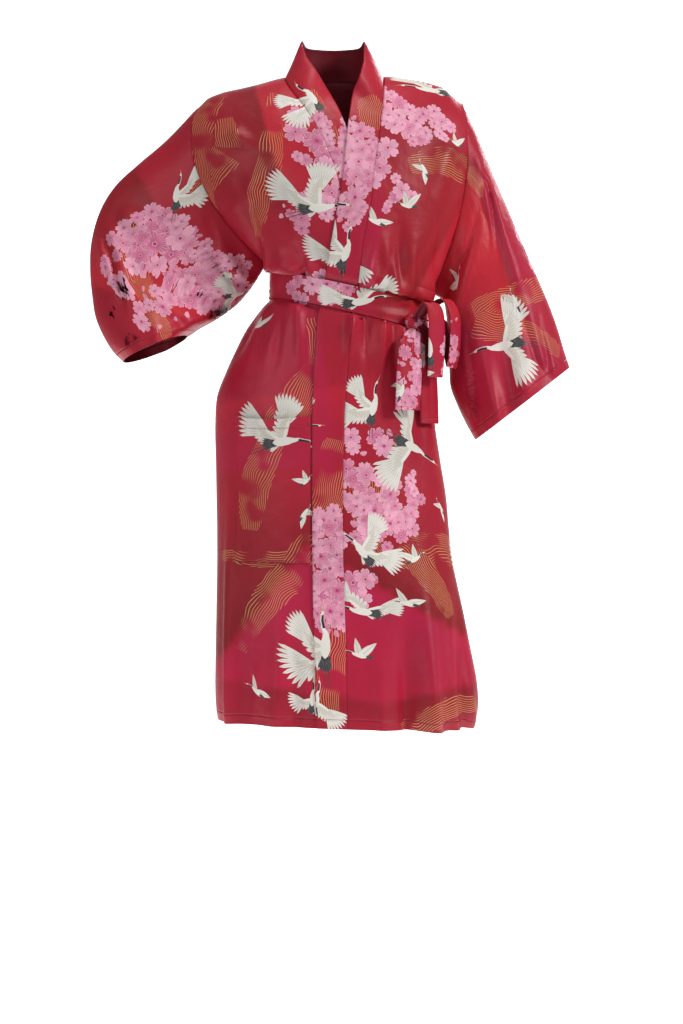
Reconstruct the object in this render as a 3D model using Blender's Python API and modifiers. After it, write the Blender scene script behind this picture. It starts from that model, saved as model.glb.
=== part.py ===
"""Kimono robe, worn and tied, as a hollow form of thin cloth walls.

Metres, +Z up. The wearer faces -Y, so -X is the wearer's right.
The origin lies between the shoulders, at the base of the neck.
"""
import math
from collections import namedtuple

import bmesh
import bpy
from mathutils import Euler, Vector

# Walls and the room between pieces
CLOTH = 0.0015
BAND_CLOTH = 0.0020
SEAM_INSET = 0.0002
SET_IN_INSET = 0.0006
OVERLAP_LIFT = 0.0034
SASH_ROOM = 0.0007

# How folds and lifts fade: in rows of the grid, or as a share of a row
NIP_ROWS = 1.2
SEWN_ROWS = 3.0
SEWN_SHARE = 0.12
LIFT_ROWS = 5.0
FOLD_RUN_IN = 0.25
FOLD_RISE = 0.3

# Grid of the panels
YOKE_ROWS = 12
PANEL_COLUMNS = 14
NECK_COLUMNS = 6
BAND_COLUMNS = 3

# The chest above the underarm
CHEST_FRONT = 0.124
CHEST_BACK = 0.108
CHEST_FULL_AT = 0.62
UNDERARM_EASE = 0.06
RING_POWER = 2.3
SHOULDER_POWER = 0.8
NECK_HOLLOW = 0.068
NECK_ROWS = 5
NECK_ROUND = 0.8
BACK_EASE_ROWS = 8.0
BACK_HALF_NECK = 0.07
NECK_LEFT_X = -0.075
NECK_RIGHT_X = 0.081
LAST_COLLAR_ROW = 3

Armhole = namedtuple("Armhole", "top_x top_z low_x low_z bow half_depth")
HOLE_RIGHT = Armhole(-0.219, -0.051, -0.108, -0.300, -0.045, 0.050)
HOLE_LEFT = Armhole(0.207, -0.043, 0.155, -0.345, 0.025, 0.052)

# Shoulder line seen from the front: x, z
SHOULDER_LINE = (
    (-0.219, -0.051), (-0.200, -0.034), (-0.175, -0.024), (-0.130, -0.014),
    (-0.075, 0.000), (0.000, 0.003), (0.081, 0.001), (0.106, -0.001),
    (0.154, -0.010), (0.180, -0.020), (0.207, -0.043))

# Rings below the underarm, one row a section, down to the hem
Ring = namedtuple("Ring", "x_left z_left x_right z_right front back")
RINGS = (
    Ring(-0.103, -0.306, 0.152, -0.357, 0.114, 0.098),
    Ring(-0.100, -0.313, 0.149, -0.369, 0.108, 0.092),
    Ring(-0.100, -0.334, 0.148, -0.391, 0.105, 0.089),
    Ring(-0.101, -0.356, 0.149, -0.413, 0.105, 0.089),
    Ring(-0.114, -0.371, 0.151, -0.426, 0.109, 0.096),
    Ring(-0.138, -0.403, 0.153, -0.450, 0.114, 0.107),
    Ring(-0.156, -0.438, 0.155, -0.478, 0.117, 0.115),
    Ring(-0.172, -0.474, 0.157, -0.508, 0.119, 0.121),
    Ring(-0.186, -0.512, 0.160, -0.540, 0.121, 0.125),
    Ring(-0.189, -0.560, 0.165, -0.578, 0.123, 0.127),
    Ring(-0.188, -0.612, 0.172, -0.622, 0.124, 0.128),
    Ring(-0.187, -0.667, 0.180, -0.672, 0.126, 0.128),
    Ring(-0.186, -0.725, 0.185, -0.728, 0.128, 0.128),
    Ring(-0.186, -0.785, 0.193, -0.788, 0.129, 0.128),
    Ring(-0.187, -0.845, 0.206, -0.848, 0.131, 0.129),
    Ring(-0.188, -0.905, 0.218, -0.908, 0.132, 0.129),
    Ring(-0.189, -0.965, 0.229, -0.965, 0.134, 0.130),
    Ring(-0.188, -1.003, 0.231, -1.008, 0.135, 0.130),
    Ring(-0.185, -1.026, 0.224, -1.038, 0.135, 0.130))
ROWS = YOKE_ROWS + len(RINGS)
SASH_TOP_ROW = YOKE_ROWS + 2
SASH_FOOT_ROW = YOKE_ROWS + 4

# Lines of the two front edges: z, x of the band seam, x of the free edge
OVER_LINES = (
    (0.001, 0.081, 0.050), (-0.054, 0.078, 0.029), (-0.100, 0.072, 0.022),
    (-0.182, 0.061, 0.014), (-0.216, 0.058, 0.008), (-0.279, 0.046, -0.003),
    (-0.344, 0.038, -0.014), (-0.400, 0.028, -0.026), (-0.539, 0.018, -0.032),
    (-0.722, 0.015, -0.032), (-0.874, 0.019, -0.030), (-1.045, 0.022, -0.025))
UNDER_LINES = (
    (0.001, -0.075, -0.050), (-0.012, -0.075, -0.040), (-0.075, -0.037, 0.000),
    (-0.119, -0.013, 0.028), (-0.180, 0.008, 0.053), (-0.250, 0.021, 0.068),
    (-0.344, 0.028, 0.076), (-0.539, 0.030, 0.078), (-0.800, 0.032, 0.080),
    (-1.045, 0.034, 0.082))

# Free edge of the standing collar at the first rows: x, y, z
OVER_COLLAR = (
    (0.0500, -0.004, 0.0570), (0.0495, -0.015, 0.0430),
    (0.0475, -0.034, 0.0180), (0.0410, -0.056, -0.0080))
UNDER_COLLAR = (
    (-0.0510, -0.004, 0.0580), (-0.0490, -0.015, 0.0460),
    (-0.0410, -0.033, 0.0250), (-0.0260, -0.053, 0.0010))
# Its free edge where it meets the chest: x, z
OVER_CHEST = (
    (0.0315, -0.032), (0.0265, -0.064), (0.0222, -0.099), (0.0185, -0.137),
    (0.0145, -0.180), (0.0065, -0.224), (-0.0010, -0.266), (-0.0070, -0.299))
UNDER_CHEST = (
    (-0.0080, -0.030), (0.0090, -0.064), (0.0205, -0.094), (0.0370, -0.133),
    (0.0530, -0.178), (0.0645, -0.222), (0.0700, -0.265), (0.0735, -0.300))
COLLAR_BACK_Y = 0.054
COLLAR_BACK_Z = 0.053
COLLAR_BELLY = 0.004

# Steps of the searches on the surface, and of its slope
HALVINGS = 30
SEAM_STEPS = 8
SLOPE_ACROSS = 0.01
SLOPE_ROWS = 0.25
SLOPE_MARGIN = 0.3
SIDEWAYS = 0.05

# Sleeve rings from armhole to cuff: outer line, inner line, half depth, middle y
SLEEVE_EASE_RINGS = 2.0
ARMHOLE_BOW_RINGS = 3.0
SLEEVE_RIM = 0.7
Cuffward = namedtuple("Cuffward", "out_x out_z in_x in_z half_depth y")
SLEEVE_RIGHT = (
    Cuffward(-0.266, -0.100, -0.120, -0.320, 0.048, 0.002),
    Cuffward(-0.311, -0.138, -0.130, -0.335, 0.046, 0.004),
    Cuffward(-0.349, -0.173, -0.140, -0.348, 0.045, 0.006),
    Cuffward(-0.374, -0.213, -0.150, -0.359, 0.046, 0.008),
    Cuffward(-0.388, -0.262, -0.161, -0.369, 0.050, 0.008),
    Cuffward(-0.390, -0.309, -0.173, -0.378, 0.056, 0.006),
    Cuffward(-0.386, -0.352, -0.186, -0.387, 0.064, 0.003),
    Cuffward(-0.380, -0.386, -0.198, -0.394, 0.073, 0.000),
    Cuffward(-0.367, -0.416, -0.210, -0.400, 0.082, -0.003),
    Cuffward(-0.352, -0.440, -0.222, -0.407, 0.089, -0.006),
    Cuffward(-0.335, -0.457, -0.234, -0.415, 0.093, -0.008))
SLEEVE_LEFT = (
    Cuffward(0.230, -0.092, 0.175, -0.357, 0.050, 0.000),
    Cuffward(0.252, -0.148, 0.180, -0.378, 0.048, -0.002),
    Cuffward(0.276, -0.205, 0.182, -0.405, 0.048, -0.004),
    Cuffward(0.299, -0.260, 0.183, -0.435, 0.050, -0.006),
    Cuffward(0.320, -0.309, 0.185, -0.465, 0.054, -0.009),
    Cuffward(0.340, -0.356, 0.187, -0.496, 0.058, -0.012),
    Cuffward(0.356, -0.400, 0.198, -0.526, 0.062, -0.015),
    Cuffward(0.366, -0.435, 0.211, -0.554, 0.066, -0.018),
    Cuffward(0.376, -0.466, 0.226, -0.581, 0.068, -0.020))

# Folds seen from the front, strongest at their first end: x, z to x, z, width, height
Fold = namedtuple("Fold", "x1 z1 x2 z2 width height")
UNDER_FOLDS = (
    Fold(-0.030, -0.322, -0.066, -0.262, 0.013, 0.0050),
    Fold(-0.052, -0.318, -0.110, -0.284, 0.012, 0.0050),
    Fold(-0.078, -0.312, -0.150, -0.262, 0.016, 0.0060),
    Fold(-0.040, -0.300, -0.150, -0.100, 0.022, -0.0050),
    Fold(-0.070, -0.380, -0.110, -0.470, 0.018, 0.0050),
    Fold(-0.108, -0.385, -0.150, -0.500, 0.016, -0.0045),
    Fold(-0.150, -1.020, -0.160, -0.560, 0.014, 0.0060),
    Fold(-0.128, -1.020, -0.140, -0.800, 0.016, -0.0050))
OVER_FOLDS = (
    Fold(0.098, -0.352, 0.068, -0.230, 0.012, 0.0060),
    Fold(0.116, -0.356, 0.134, -0.220, 0.013, 0.0070),
    Fold(0.132, -0.360, 0.180, -0.276, 0.012, 0.0060),
    Fold(0.107, -0.350, 0.100, -0.200, 0.010, -0.0045),
    Fold(0.078, -0.345, 0.020, -0.280, 0.016, 0.0030),
    Fold(0.034, -0.398, 0.026, -0.470, 0.012, 0.0045),
    Fold(0.072, -0.402, 0.074, -0.500, 0.013, 0.0050),
    Fold(0.096, -0.408, 0.104, -0.620, 0.014, 0.0060),
    Fold(0.120, -0.412, 0.140, -0.700, 0.014, -0.0050),
    Fold(0.150, -1.030, 0.135, -0.700, 0.020, 0.0070),
    Fold(0.190, -1.030, 0.165, -0.750, 0.016, -0.0060),
    Fold(0.118, -1.030, 0.110, -0.820, 0.014, -0.0040))
BACK_FOLDS = (
    Fold(-0.060, -0.325, -0.090, -0.200, 0.014, 0.0060),
    Fold(-0.030, -0.330, -0.034, -0.160, 0.014, 0.0065),
    Fold(0.004, -0.335, 0.010, -0.190, 0.012, 0.0055),
    Fold(0.040, -0.342, 0.058, -0.150, 0.015, 0.0065),
    Fold(0.080, -0.350, 0.120, -0.220, 0.014, 0.0060),
    Fold(0.112, -0.358, 0.160, -0.270, 0.012, 0.0050),
    Fold(-0.066, -0.375, -0.100, -0.520, 0.014, 0.0055),
    Fold(-0.030, -0.380, -0.040, -0.560, 0.014, 0.0060),
    Fold(0.012, -0.388, 0.016, -0.540, 0.013, 0.0055),
    Fold(0.052, -0.396, 0.070, -0.600, 0.015, 0.0065),
    Fold(0.092, -0.404, 0.120, -0.560, 0.013, 0.0055),
    Fold(-0.120, -1.020, -0.110, -0.700, 0.024, 0.0070),
    Fold(-0.040, -1.030, -0.030, -0.720, 0.026, -0.0060),
    Fold(0.040, -1.030, 0.030, -0.640, 0.026, 0.0075),
    Fold(0.130, -1.030, 0.110, -0.700, 0.024, -0.0060),
    Fold(0.180, -1.030, 0.160, -0.780, 0.018, 0.0060))
SLEEVE_RIGHT_FOLDS = (
    Fold(-0.150, -0.318, -0.222, -0.180, 0.018, -0.0090),
    Fold(-0.140, -0.344, -0.250, -0.280, 0.016, 0.0070),
    Fold(-0.372, -0.270, -0.345, -0.372, 0.012, 0.0060),
    Fold(-0.352, -0.262, -0.300, -0.400, 0.014, -0.0050),
    Fold(-0.215, -0.398, -0.330, -0.330, 0.014, 0.0050))
SLEEVE_LEFT_FOLDS = (
    Fold(0.170, -0.372, 0.226, -0.180, 0.014, -0.0080),
    Fold(0.176, -0.400, 0.262, -0.180, 0.014, 0.0070),
    Fold(0.292, -0.325, 0.262, -0.166, 0.016, 0.0060),
    Fold(0.250, -0.560, 0.235, -0.380, 0.018, 0.0060),
    Fold(0.310, -0.505, 0.290, -0.360, 0.018, -0.0055))

# The two fronts: edge lines, collar, folds, which end of a row is loose, and lift
Front = namedtuple("Front", "lines collar chest folds loose lift")
UNDER = Front(UNDER_LINES, UNDER_COLLAR, UNDER_CHEST, UNDER_FOLDS, 1, 0.0)
OVER = Front(OVER_LINES, OVER_COLLAR, OVER_CHEST, OVER_FOLDS, -1, OVERLAP_LIFT)

# Patch pocket on the under front, seen from the front
POCKET_LEFT_X = -0.152
POCKET_RIGHT_X = -0.0350
POCKET_MOUTH_Z = -0.547
POCKET_FOOT_Z = -0.775
POCKET_GAP = 0.0007
POCKET_SAG = 0.0025
POCKET_SAG_RUN = 0.35
POCKET_COLUMNS = 7
POCKET_ROWS = 6

# Sash and knot
SASH_STEPS = 28
LAP_START_X = -0.075
LAP_RUN = 0.035
LAP_END_SHARE = 0.10
KNOT_X = 0.116
KNOT_Z = -0.3975
KNOT_SIZE = (0.036, 0.024, 0.032)
KNOT_GAP = 0.0005

# Strips of the bow: middle, width, and the turn of the width about the vertical
Ribbon = namedtuple("Ribbon", "x y z width turn")
BOW_CLOTH = 0.0018
RIBBON_ROOT = 0.016
TAIL_PRESS = 0.0012
RIBBON_CROWN = 0.06
TAIL_FRONT = (
    Ribbon(0.1205, -0.116, -0.432, 0.038, 30),
    Ribbon(0.1190, -0.119, -0.469, 0.045, 30),
    Ribbon(0.1176, -0.119, -0.505, 0.045, 28),
    Ribbon(0.1160, -0.118, -0.538, 0.043, 26))
TAIL_REAR = (
    Ribbon(0.1450, -0.0776, -0.430, 0.032, 44),
    Ribbon(0.1490, -0.072, -0.468, 0.039, 44),
    Ribbon(0.1510, -0.070, -0.512, 0.040, 42),
    Ribbon(0.1520, -0.069, -0.557, 0.039, 40))
LOOP_INNER = (
    Ribbon(0.1470, -0.114, -0.371, 0.026, 35),
    Ribbon(0.1590, -0.112, -0.381, 0.031, 35),
    Ribbon(0.1620, -0.107, -0.420, 0.033, 35),
    Ribbon(0.1610, -0.103, -0.460, 0.032, 35),
    Ribbon(0.1590, -0.094, -0.486, 0.030, 35),
    Ribbon(0.1560, -0.085, -0.460, 0.031, 35),
    Ribbon(0.1530, -0.085, -0.425, 0.028, 35))
LOOP_OUTER = (
    Ribbon(0.1640, -0.084, -0.366, 0.028, 58),
    Ribbon(0.1800, -0.086, -0.365, 0.033, 60),
    Ribbon(0.1910, -0.087, -0.388, 0.035, 60),
    Ribbon(0.1920, -0.086, -0.425, 0.035, 60),
    Ribbon(0.1890, -0.084, -0.455, 0.034, 60),
    Ribbon(0.1850, -0.076, -0.470, 0.032, 60),
    Ribbon(0.1810, -0.068, -0.450, 0.032, 60),
    Ribbon(0.1770, -0.066, -0.415, 0.030, 60),
    Ribbon(0.1660, -0.068, -0.393, 0.024, 58))

# Colours, linear
CRIMSON = (0.43, 0.012, 0.035)
COLOURS = {"bow_tail_front": (0.60, 0.15, 0.30), "bow_loop_outer": (0.55, 0.12, 0.25)}
ROUGHNESS = 0.38


def clear_scene():
    for old in list(bpy.data.objects):
        bpy.data.objects.remove(old, do_unlink=True)


def mix(a, b, share):
    return a + (b - a) * share


def smooth(value):
    value = max(0.0, min(1.0, value))
    return value * value * (3.0 - 2.0 * value)


def hermite(before, start, end, after, share):
    """Catmull-Rom value between start and end."""
    pull_in = 0.5 * (end - before)
    pull_out = 0.5 * (after - start)
    square = share * share
    cube = square * share
    return ((2 * cube - 3 * square + 1) * start + (cube - 2 * square + share) * pull_in
            + (3 * square - 2 * cube) * end + (cube - square) * pull_out)


def read_line(line, key, column):
    """Value of a column of a line at a key in its first column."""
    falling = line[0][0] > line[-1][0]
    rows = line[::-1] if falling else line
    key = max(rows[0][0], min(rows[-1][0], key))
    at = 0
    while at < len(rows) - 2 and rows[at + 1][0] < key:
        at += 1
    share = (key - rows[at][0]) / (rows[at + 1][0] - rows[at][0])
    before = rows[max(0, at - 1)][column]
    after = rows[min(len(rows) - 1, at + 2)][column]
    return hermite(before, rows[at][column], rows[at + 1][column], after, share)


def armhole_point(hole, turn, side):
    """Point of an armhole, turn 0 at the shoulder and pi under the arm."""
    swing = math.sin(turn)
    x = mix(hole.low_x, hole.top_x, 0.5 + 0.5 * math.cos(turn)) + hole.bow * swing * swing
    z = mix(hole.low_z, hole.top_z, 0.5 + 0.5 * math.cos(turn))
    return Vector((x, side * hole.half_depth * swing, z))


def lower_ring(v):
    """Ring below the underarm, by smooth steps between the table's rows."""
    start = Ring(HOLE_RIGHT.low_x, HOLE_RIGHT.low_z, HOLE_LEFT.low_x, HOLE_LEFT.low_z,
                 CHEST_FRONT * (1 - UNDERARM_EASE), CHEST_BACK * (1 - UNDERARM_EASE))
    rings = (start,) + RINGS
    place = max(0.0, min(len(rings) - 1.0, v - YOKE_ROWS))
    at = min(int(place), len(rings) - 2)
    around = (rings[max(0, at - 1)], rings[at], rings[at + 1],
              rings[min(len(rings) - 1, at + 2)])
    return Ring(*(hermite(*values, place - at) for values in zip(*around)))


def row_edges(v, side):
    """Both ends of a row, its middle depth and how squarely it turns at them."""
    if v < YOKE_ROWS:
        turn = math.pi * v / YOKE_ROWS
        left = armhole_point(HOLE_RIGHT, turn, side)
        right = armhole_point(HOLE_LEFT, turn, side)
        share = v / YOKE_ROWS
        depth = CHEST_FRONT if side < 0 else CHEST_BACK
        depth *= math.sin(0.5 * math.pi * min(1.0, share / CHEST_FULL_AT))
        depth *= 1 - UNDERARM_EASE * smooth((share - CHEST_FULL_AT) / (1 - CHEST_FULL_AT))
        power = mix(1.0, 1.0 / RING_POWER, smooth(share * share))
        return left, right, depth, power
    ring = lower_ring(v)
    left = Vector((ring.x_left, 0.0, ring.z_left))
    right = Vector((ring.x_right, 0.0, ring.z_right))
    return left, right, ring.front if side < 0 else ring.back, 1.0 / RING_POWER


def shoulder_rise(share):
    """Height of the shoulder line over the chord between the two armhole tops."""
    x = mix(HOLE_RIGHT.top_x, HOLE_LEFT.top_x, share)
    return read_line(SHOULDER_LINE, x, 1) - mix(HOLE_RIGHT.top_z, HOLE_LEFT.top_z, share)


def body_point(v, across, side):
    """Point of the body's surface: row v, across 0 to 1 from -X to +X."""
    left, right, depth, power = row_edges(v, side)
    lean = math.cos(math.pi * across)
    share = 0.5 - 0.5 * lean
    full = max(0.0, 1.0 - abs(lean) ** RING_POWER) ** power
    y = mix(mix(left.y, right.y, share), side * depth, full)
    z = mix(left.z, right.z, share)
    if v < YOKE_ROWS:
        z += shoulder_rise(share) * (1.0 - v / YOKE_ROWS) ** SHOULDER_POWER
    return Vector((mix(left.x, right.x, share), y, z))


def across_at(v, x, side):
    """Place across a row where the surface has this x."""
    left, right, depth, power = row_edges(v, side)
    share = max(0.0, min(1.0, (x - left.x) / (right.x - left.x)))
    return math.acos(1.0 - 2.0 * share) / math.pi


def row_at(x, z, side):
    """Row where the surface has this x and z."""
    low, high = 0.0, float(ROWS)
    for step in range(HALVINGS):
        v = 0.5 * (low + high)
        if body_point(v, across_at(v, x, side), side).z > z:
            low = v
        else:
            high = v
    return 0.5 * (low + high)


def body_normal(v, across, side):
    """Outward direction of the body's surface."""
    across = max(2 * SLOPE_ACROSS, min(1 - 2 * SLOPE_ACROSS, across))
    v = max(SLOPE_MARGIN, min(ROWS - SLOPE_MARGIN, v))
    along = (body_point(v, across + SLOPE_ACROSS, side)
             - body_point(v, across - SLOPE_ACROSS, side))
    down = body_point(v + SLOPE_ROWS, across, side) - body_point(v - SLOPE_ROWS, across, side)
    normal = along.cross(down).normalized()
    return normal if normal.y * side > 0 or abs(normal.y) < SIDEWAYS else -normal


def fold_height(folds, x, z):
    """Sum of the folds at a place seen from the front."""
    height = 0.0
    for fold in folds:
        run_x, run_z = fold.x2 - fold.x1, fold.z2 - fold.z1
        length = math.hypot(run_x, run_z)
        share = ((x - fold.x1) * run_x + (z - fold.z1) * run_z) / (length * length)
        if -FOLD_RUN_IN < share < 1.0:
            off = ((x - fold.x1) * run_z - (z - fold.z1) * run_x) / length
            fade = smooth((share + FOLD_RUN_IN) / FOLD_RISE) * (1.0 - smooth(share))
            height += fold.height * fade * math.exp(-(off / fold.width) ** 2)
    return height


def sash_nip(v):
    """Folds are pressed flat under the sash and full a little away from it."""
    away = max(SASH_TOP_ROW - v, v - SASH_FOOT_ROW, 0.0)
    return smooth(away / NIP_ROWS)


def sewn_fade(v, across, loose):
    """0 on the sewn sides and the shoulder seam, 1 a little away from them."""
    fade = smooth(v / SEWN_ROWS)
    if loose >= 0:
        fade *= smooth(across / SEWN_SHARE)
    if loose <= 0:
        fade *= smooth((1.0 - across) / SEWN_SHARE)
    return fade


def front_point(v, across, front):
    """Point of a front's outer face, with its folds and its lift."""
    point = body_point(v, across, -1)
    out = front.lift * smooth(v / LIFT_ROWS)
    out += fold_height(front.folds, point.x, point.z) * sash_nip(v)
    out *= sewn_fade(v, across, front.loose)
    return point + body_normal(v, across, -1) * out


def back_point(v, across):
    point = body_point(v, across, 1)
    out = fold_height(BACK_FOLDS, point.x, point.z) * sash_nip(v) * sewn_fade(v, across, 0)
    return point + body_normal(v, across, 1) * out


def seam_across(v, front, column):
    """Place across a row where a front's edge line crosses it."""
    if v == 0:
        return across_at(0, front.lines[0][column], -1)
    across = 0.5
    for step in range(SEAM_STEPS):
        z = body_point(v, across, -1).z
        across = across_at(v, read_line(front.lines, z, column), -1)
    return across


def front_grid(front):
    """Rows of a front panel, each from one side of the body to its band seam."""
    grid = []
    for v in range(ROWS + 1):
        seam = seam_across(v, front, 1)
        start, end = (0.0, seam) if front.loose > 0 else (seam, 1.0)
        grid.append([front_point(v, mix(start, end, c / PANEL_COLUMNS), front)
                     for c in range(PANEL_COLUMNS + 1)])
    return grid


def back_stops(v):
    """Places across the back, in three runs that match the shoulder seams."""
    ease = smooth(v / BACK_EASE_ROWS)
    left, right, depth, power = row_edges(v, 1)
    middle = 0.5 * (left.x + right.x)
    first = across_at(v, mix(NECK_LEFT_X, middle - BACK_HALF_NECK, ease), 1)
    last = across_at(v, mix(NECK_RIGHT_X, middle + BACK_HALF_NECK, ease), 1)
    stops = [first * c / PANEL_COLUMNS for c in range(PANEL_COLUMNS)]
    stops += [mix(first, last, c / NECK_COLUMNS) for c in range(NECK_COLUMNS)]
    return stops + [mix(last, 1.0, c / PANEL_COLUMNS) for c in range(PANEL_COLUMNS + 1)]


def back_grid():
    grid = []
    for v in range(ROWS + 1):
        line = []
        for column, across in enumerate(back_stops(v)):
            point = back_point(v, across)
            neck = (column - PANEL_COLUMNS) / NECK_COLUMNS
            if 0.0 < neck < 1.0 and v < NECK_ROWS:
                hollow = math.sin(math.pi * neck) ** NECK_ROUND * (1 - v / NECK_ROWS) ** 2
                point.y += NECK_HOLLOW * hollow
            line.append(point)
        grid.append(line)
    return grid


def chest_point(x, z, front):
    """Point of a front's outer face at a place seen from the front."""
    v = row_at(x, z, -1)
    return front_point(v, across_at(v, x, -1), front)


def band_section(v, seam, front):
    """Points of the neckband from its seam to its free edge at a front row."""
    section = [seam]
    on_chest = v - LAST_COLLAR_ROW - 1
    for c in range(1, BAND_COLUMNS + 1):
        share = c / BAND_COLUMNS
        if on_chest < 0:
            point = mix(seam, Vector(front.collar[v]), share)
            point.y -= COLLAR_BELLY * math.sin(math.pi * share) * v / LAST_COLLAR_ROW
        elif on_chest < len(front.chest):
            free_x, free_z = front.chest[on_chest]
            point = chest_point(mix(seam.x, free_x, share), mix(seam.z, free_z, share), front)
        else:
            across = mix(seam_across(v, front, 1), seam_across(v, front, 2), share)
            point = front_point(v, across, front)
        section.append(point)
    return section


def neck_section(c, seam):
    """Points of the standing collar at a column of the back's neck edge."""
    turn = math.pi * c / NECK_COLUMNS
    x = mix(UNDER_COLLAR[0][0], OVER_COLLAR[0][0], 0.5 - 0.5 * math.cos(turn))
    free = Vector((x, COLLAR_BACK_Y * math.sin(turn) ** NECK_ROUND, COLLAR_BACK_Z))
    return [mix(seam, free, s / BAND_COLUMNS) for s in range(BAND_COLUMNS + 1)]


def band_grid(under, over, back):
    """The long band from the under hem, round the neck, to the over hem."""
    sections = [band_section(v, under[v][-1], UNDER) for v in range(ROWS, -1, -1)]
    sections += [neck_section(c, back[0][PANEL_COLUMNS + c]) for c in range(1, NECK_COLUMNS)]
    return sections + [band_section(v, over[v][0], OVER) for v in range(ROWS + 1)]


def sleeve_grid(hole, rings, folds):
    """Rings of a sleeve from its armhole to its cuff."""
    count = 2 * YOKE_ROWS
    grid = []
    first = Cuffward(hole.top_x, hole.top_z, hole.low_x, hole.low_z, hole.half_depth, 0.0)
    for step, ring in enumerate((first,) + rings):
        line = []
        bow = hole.bow * max(0.0, 1.0 - step / ARMHOLE_BOW_RINGS)
        for j in range(count):
            turn = 2.0 * math.pi * j / count
            share = 0.5 + 0.5 * math.cos(turn)
            swing = math.sin(turn)
            point = Vector((mix(ring.in_x, ring.out_x, share) + bow * swing * swing,
                            ring.y - ring.half_depth * swing,
                            mix(ring.in_z, ring.out_z, share)))
            ease = smooth(step / SLEEVE_EASE_RINGS) * smooth(abs(swing) / SLEEVE_RIM)
            out = fold_height(folds, point.x, point.z) * ease
            point.y -= math.copysign(out, swing)
            line.append(point)
        grid.append(line)
    return grid


def quads(rows, columns, closed):
    last = columns if closed else columns - 1
    for i in range(rows - 1):
        for j in range(last):
            k = (j + 1) % columns
            yield (i, j), (i, k), (i + 1, k), (i + 1, j)


class Cloth:
    """One sewn piece: its grid of outer points, and which edges are sewn."""

    def __init__(self, name, grid, closed=False, wall=CLOTH, flip=False, sewn=""):
        self.name, self.grid, self.closed = name, grid, closed
        self.wall, self.flip, self.sewn = wall, flip, sewn
        self.inset = SEAM_INSET if "end" in sewn else SET_IN_INSET

    def faces(self):
        for corners in quads(len(self.grid), len(self.grid[0]), self.closed):
            yield corners[::-1] if self.flip else corners


def seam_key(point):
    return tuple(round(value * 2e4) for value in point)


def shared_normals(pieces):
    """Outward normals that neighbours at a seam share, so their rims stay parallel."""
    shared = {}
    for piece in pieces:
        own = {}
        for corners in piece.faces():
            a, b, c, d = (piece.grid[i][j] for i, j in corners)
            normal = (c - a).cross(d - b)
            for point in (a, b, c, d):
                key = seam_key(point)
                own[key] = own.get(key, Vector((0, 0, 0))) + normal
        for key, total in own.items():
            shared[key] = shared.get(key, Vector((0, 0, 0))) + total.normalized()
    return {key: total.normalized() for key, total in shared.items()}


def inset_grid(piece):
    """The piece's points, drawn back from the seam lines by half the seam's room."""
    grid = [[point.copy() for point in line] for line in piece.grid]
    last_row, last_column = len(grid) - 1, len(grid[0]) - 1
    edges = {"top": (0, 1), "foot": (last_row, last_row - 1)}
    for edge, (row, inner) in edges.items():
        if edge in piece.sewn:
            for j in range(last_column + 1):
                step = (piece.grid[inner][j] - piece.grid[row][j]).normalized()
                grid[row][j] += step * piece.inset
    edges = {"start": (0, 1), "end": (last_column, last_column - 1)}
    for edge, (column, inner) in edges.items():
        if edge in piece.sewn:
            for i in range(last_row + 1):
                step = (piece.grid[i][inner] - piece.grid[i][column]).normalized()
                grid[i][column] += step * piece.inset
    return grid


def cloth_object(piece, normals, collection):
    """Closed wall from a piece's outer points to the points one wall inside."""
    outer = inset_grid(piece)
    rows, columns = len(outer), len(outer[0])
    shape = bmesh.new()
    out, inn = {}, {}
    for i in range(rows):
        for j in range(columns):
            normal = normals[seam_key(piece.grid[i][j])]
            out[i, j] = shape.verts.new(outer[i][j])
            inn[i, j] = shape.verts.new(outer[i][j] - normal * piece.wall)
    for corners in piece.faces():
        shape.faces.new([out[c] for c in corners])
        shape.faces.new([inn[c] for c in reversed(corners)])
    last = columns if piece.closed else columns - 1
    rims = [((0, j), (0, (j + 1) % columns)) for j in range(last)]
    rims += [((rows - 1, (j + 1) % columns), (rows - 1, j)) for j in range(last)]
    if not piece.closed:
        rims += [((i + 1, 0), (i, 0)) for i in range(rows - 1)]
        rims += [((i, columns - 1), (i + 1, columns - 1)) for i in range(rows - 1)]
    for a, b in rims:
        ring = [out[b], out[a], inn[a], inn[b]]
        shape.faces.new(ring[::-1] if piece.flip else ring)
    mesh = bpy.data.meshes.new(piece.name)
    shape.to_mesh(mesh)
    shape.free()
    mesh.shade_smooth()
    made = bpy.data.objects.new(piece.name, mesh)
    collection.objects.link(made)
    return made


def strip_object(name, grid, wall, collection, closed_rows=False, flip=False):
    """Open strip of cloth given its wall by Solidify, outwards from its inner face."""
    shape = bmesh.new()
    verts = [[shape.verts.new(point) for point in line] for line in grid]
    rows = len(grid) if closed_rows else len(grid) - 1
    for i in range(rows):
        near, far = verts[i], verts[(i + 1) % len(grid)]
        for j in range(len(near) - 1):
            corners = [near[j], near[j + 1], far[j + 1], far[j]]
            shape.faces.new(corners[::-1] if flip else corners)
    mesh = bpy.data.meshes.new(name)
    shape.to_mesh(mesh)
    shape.free()
    mesh.shade_smooth()
    made = bpy.data.objects.new(name, mesh)
    collection.objects.link(made)
    thick = made.modifiers.new("cloth wall", "SOLIDIFY")
    thick.thickness = wall
    thick.offset = 1.0
    return made


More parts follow.
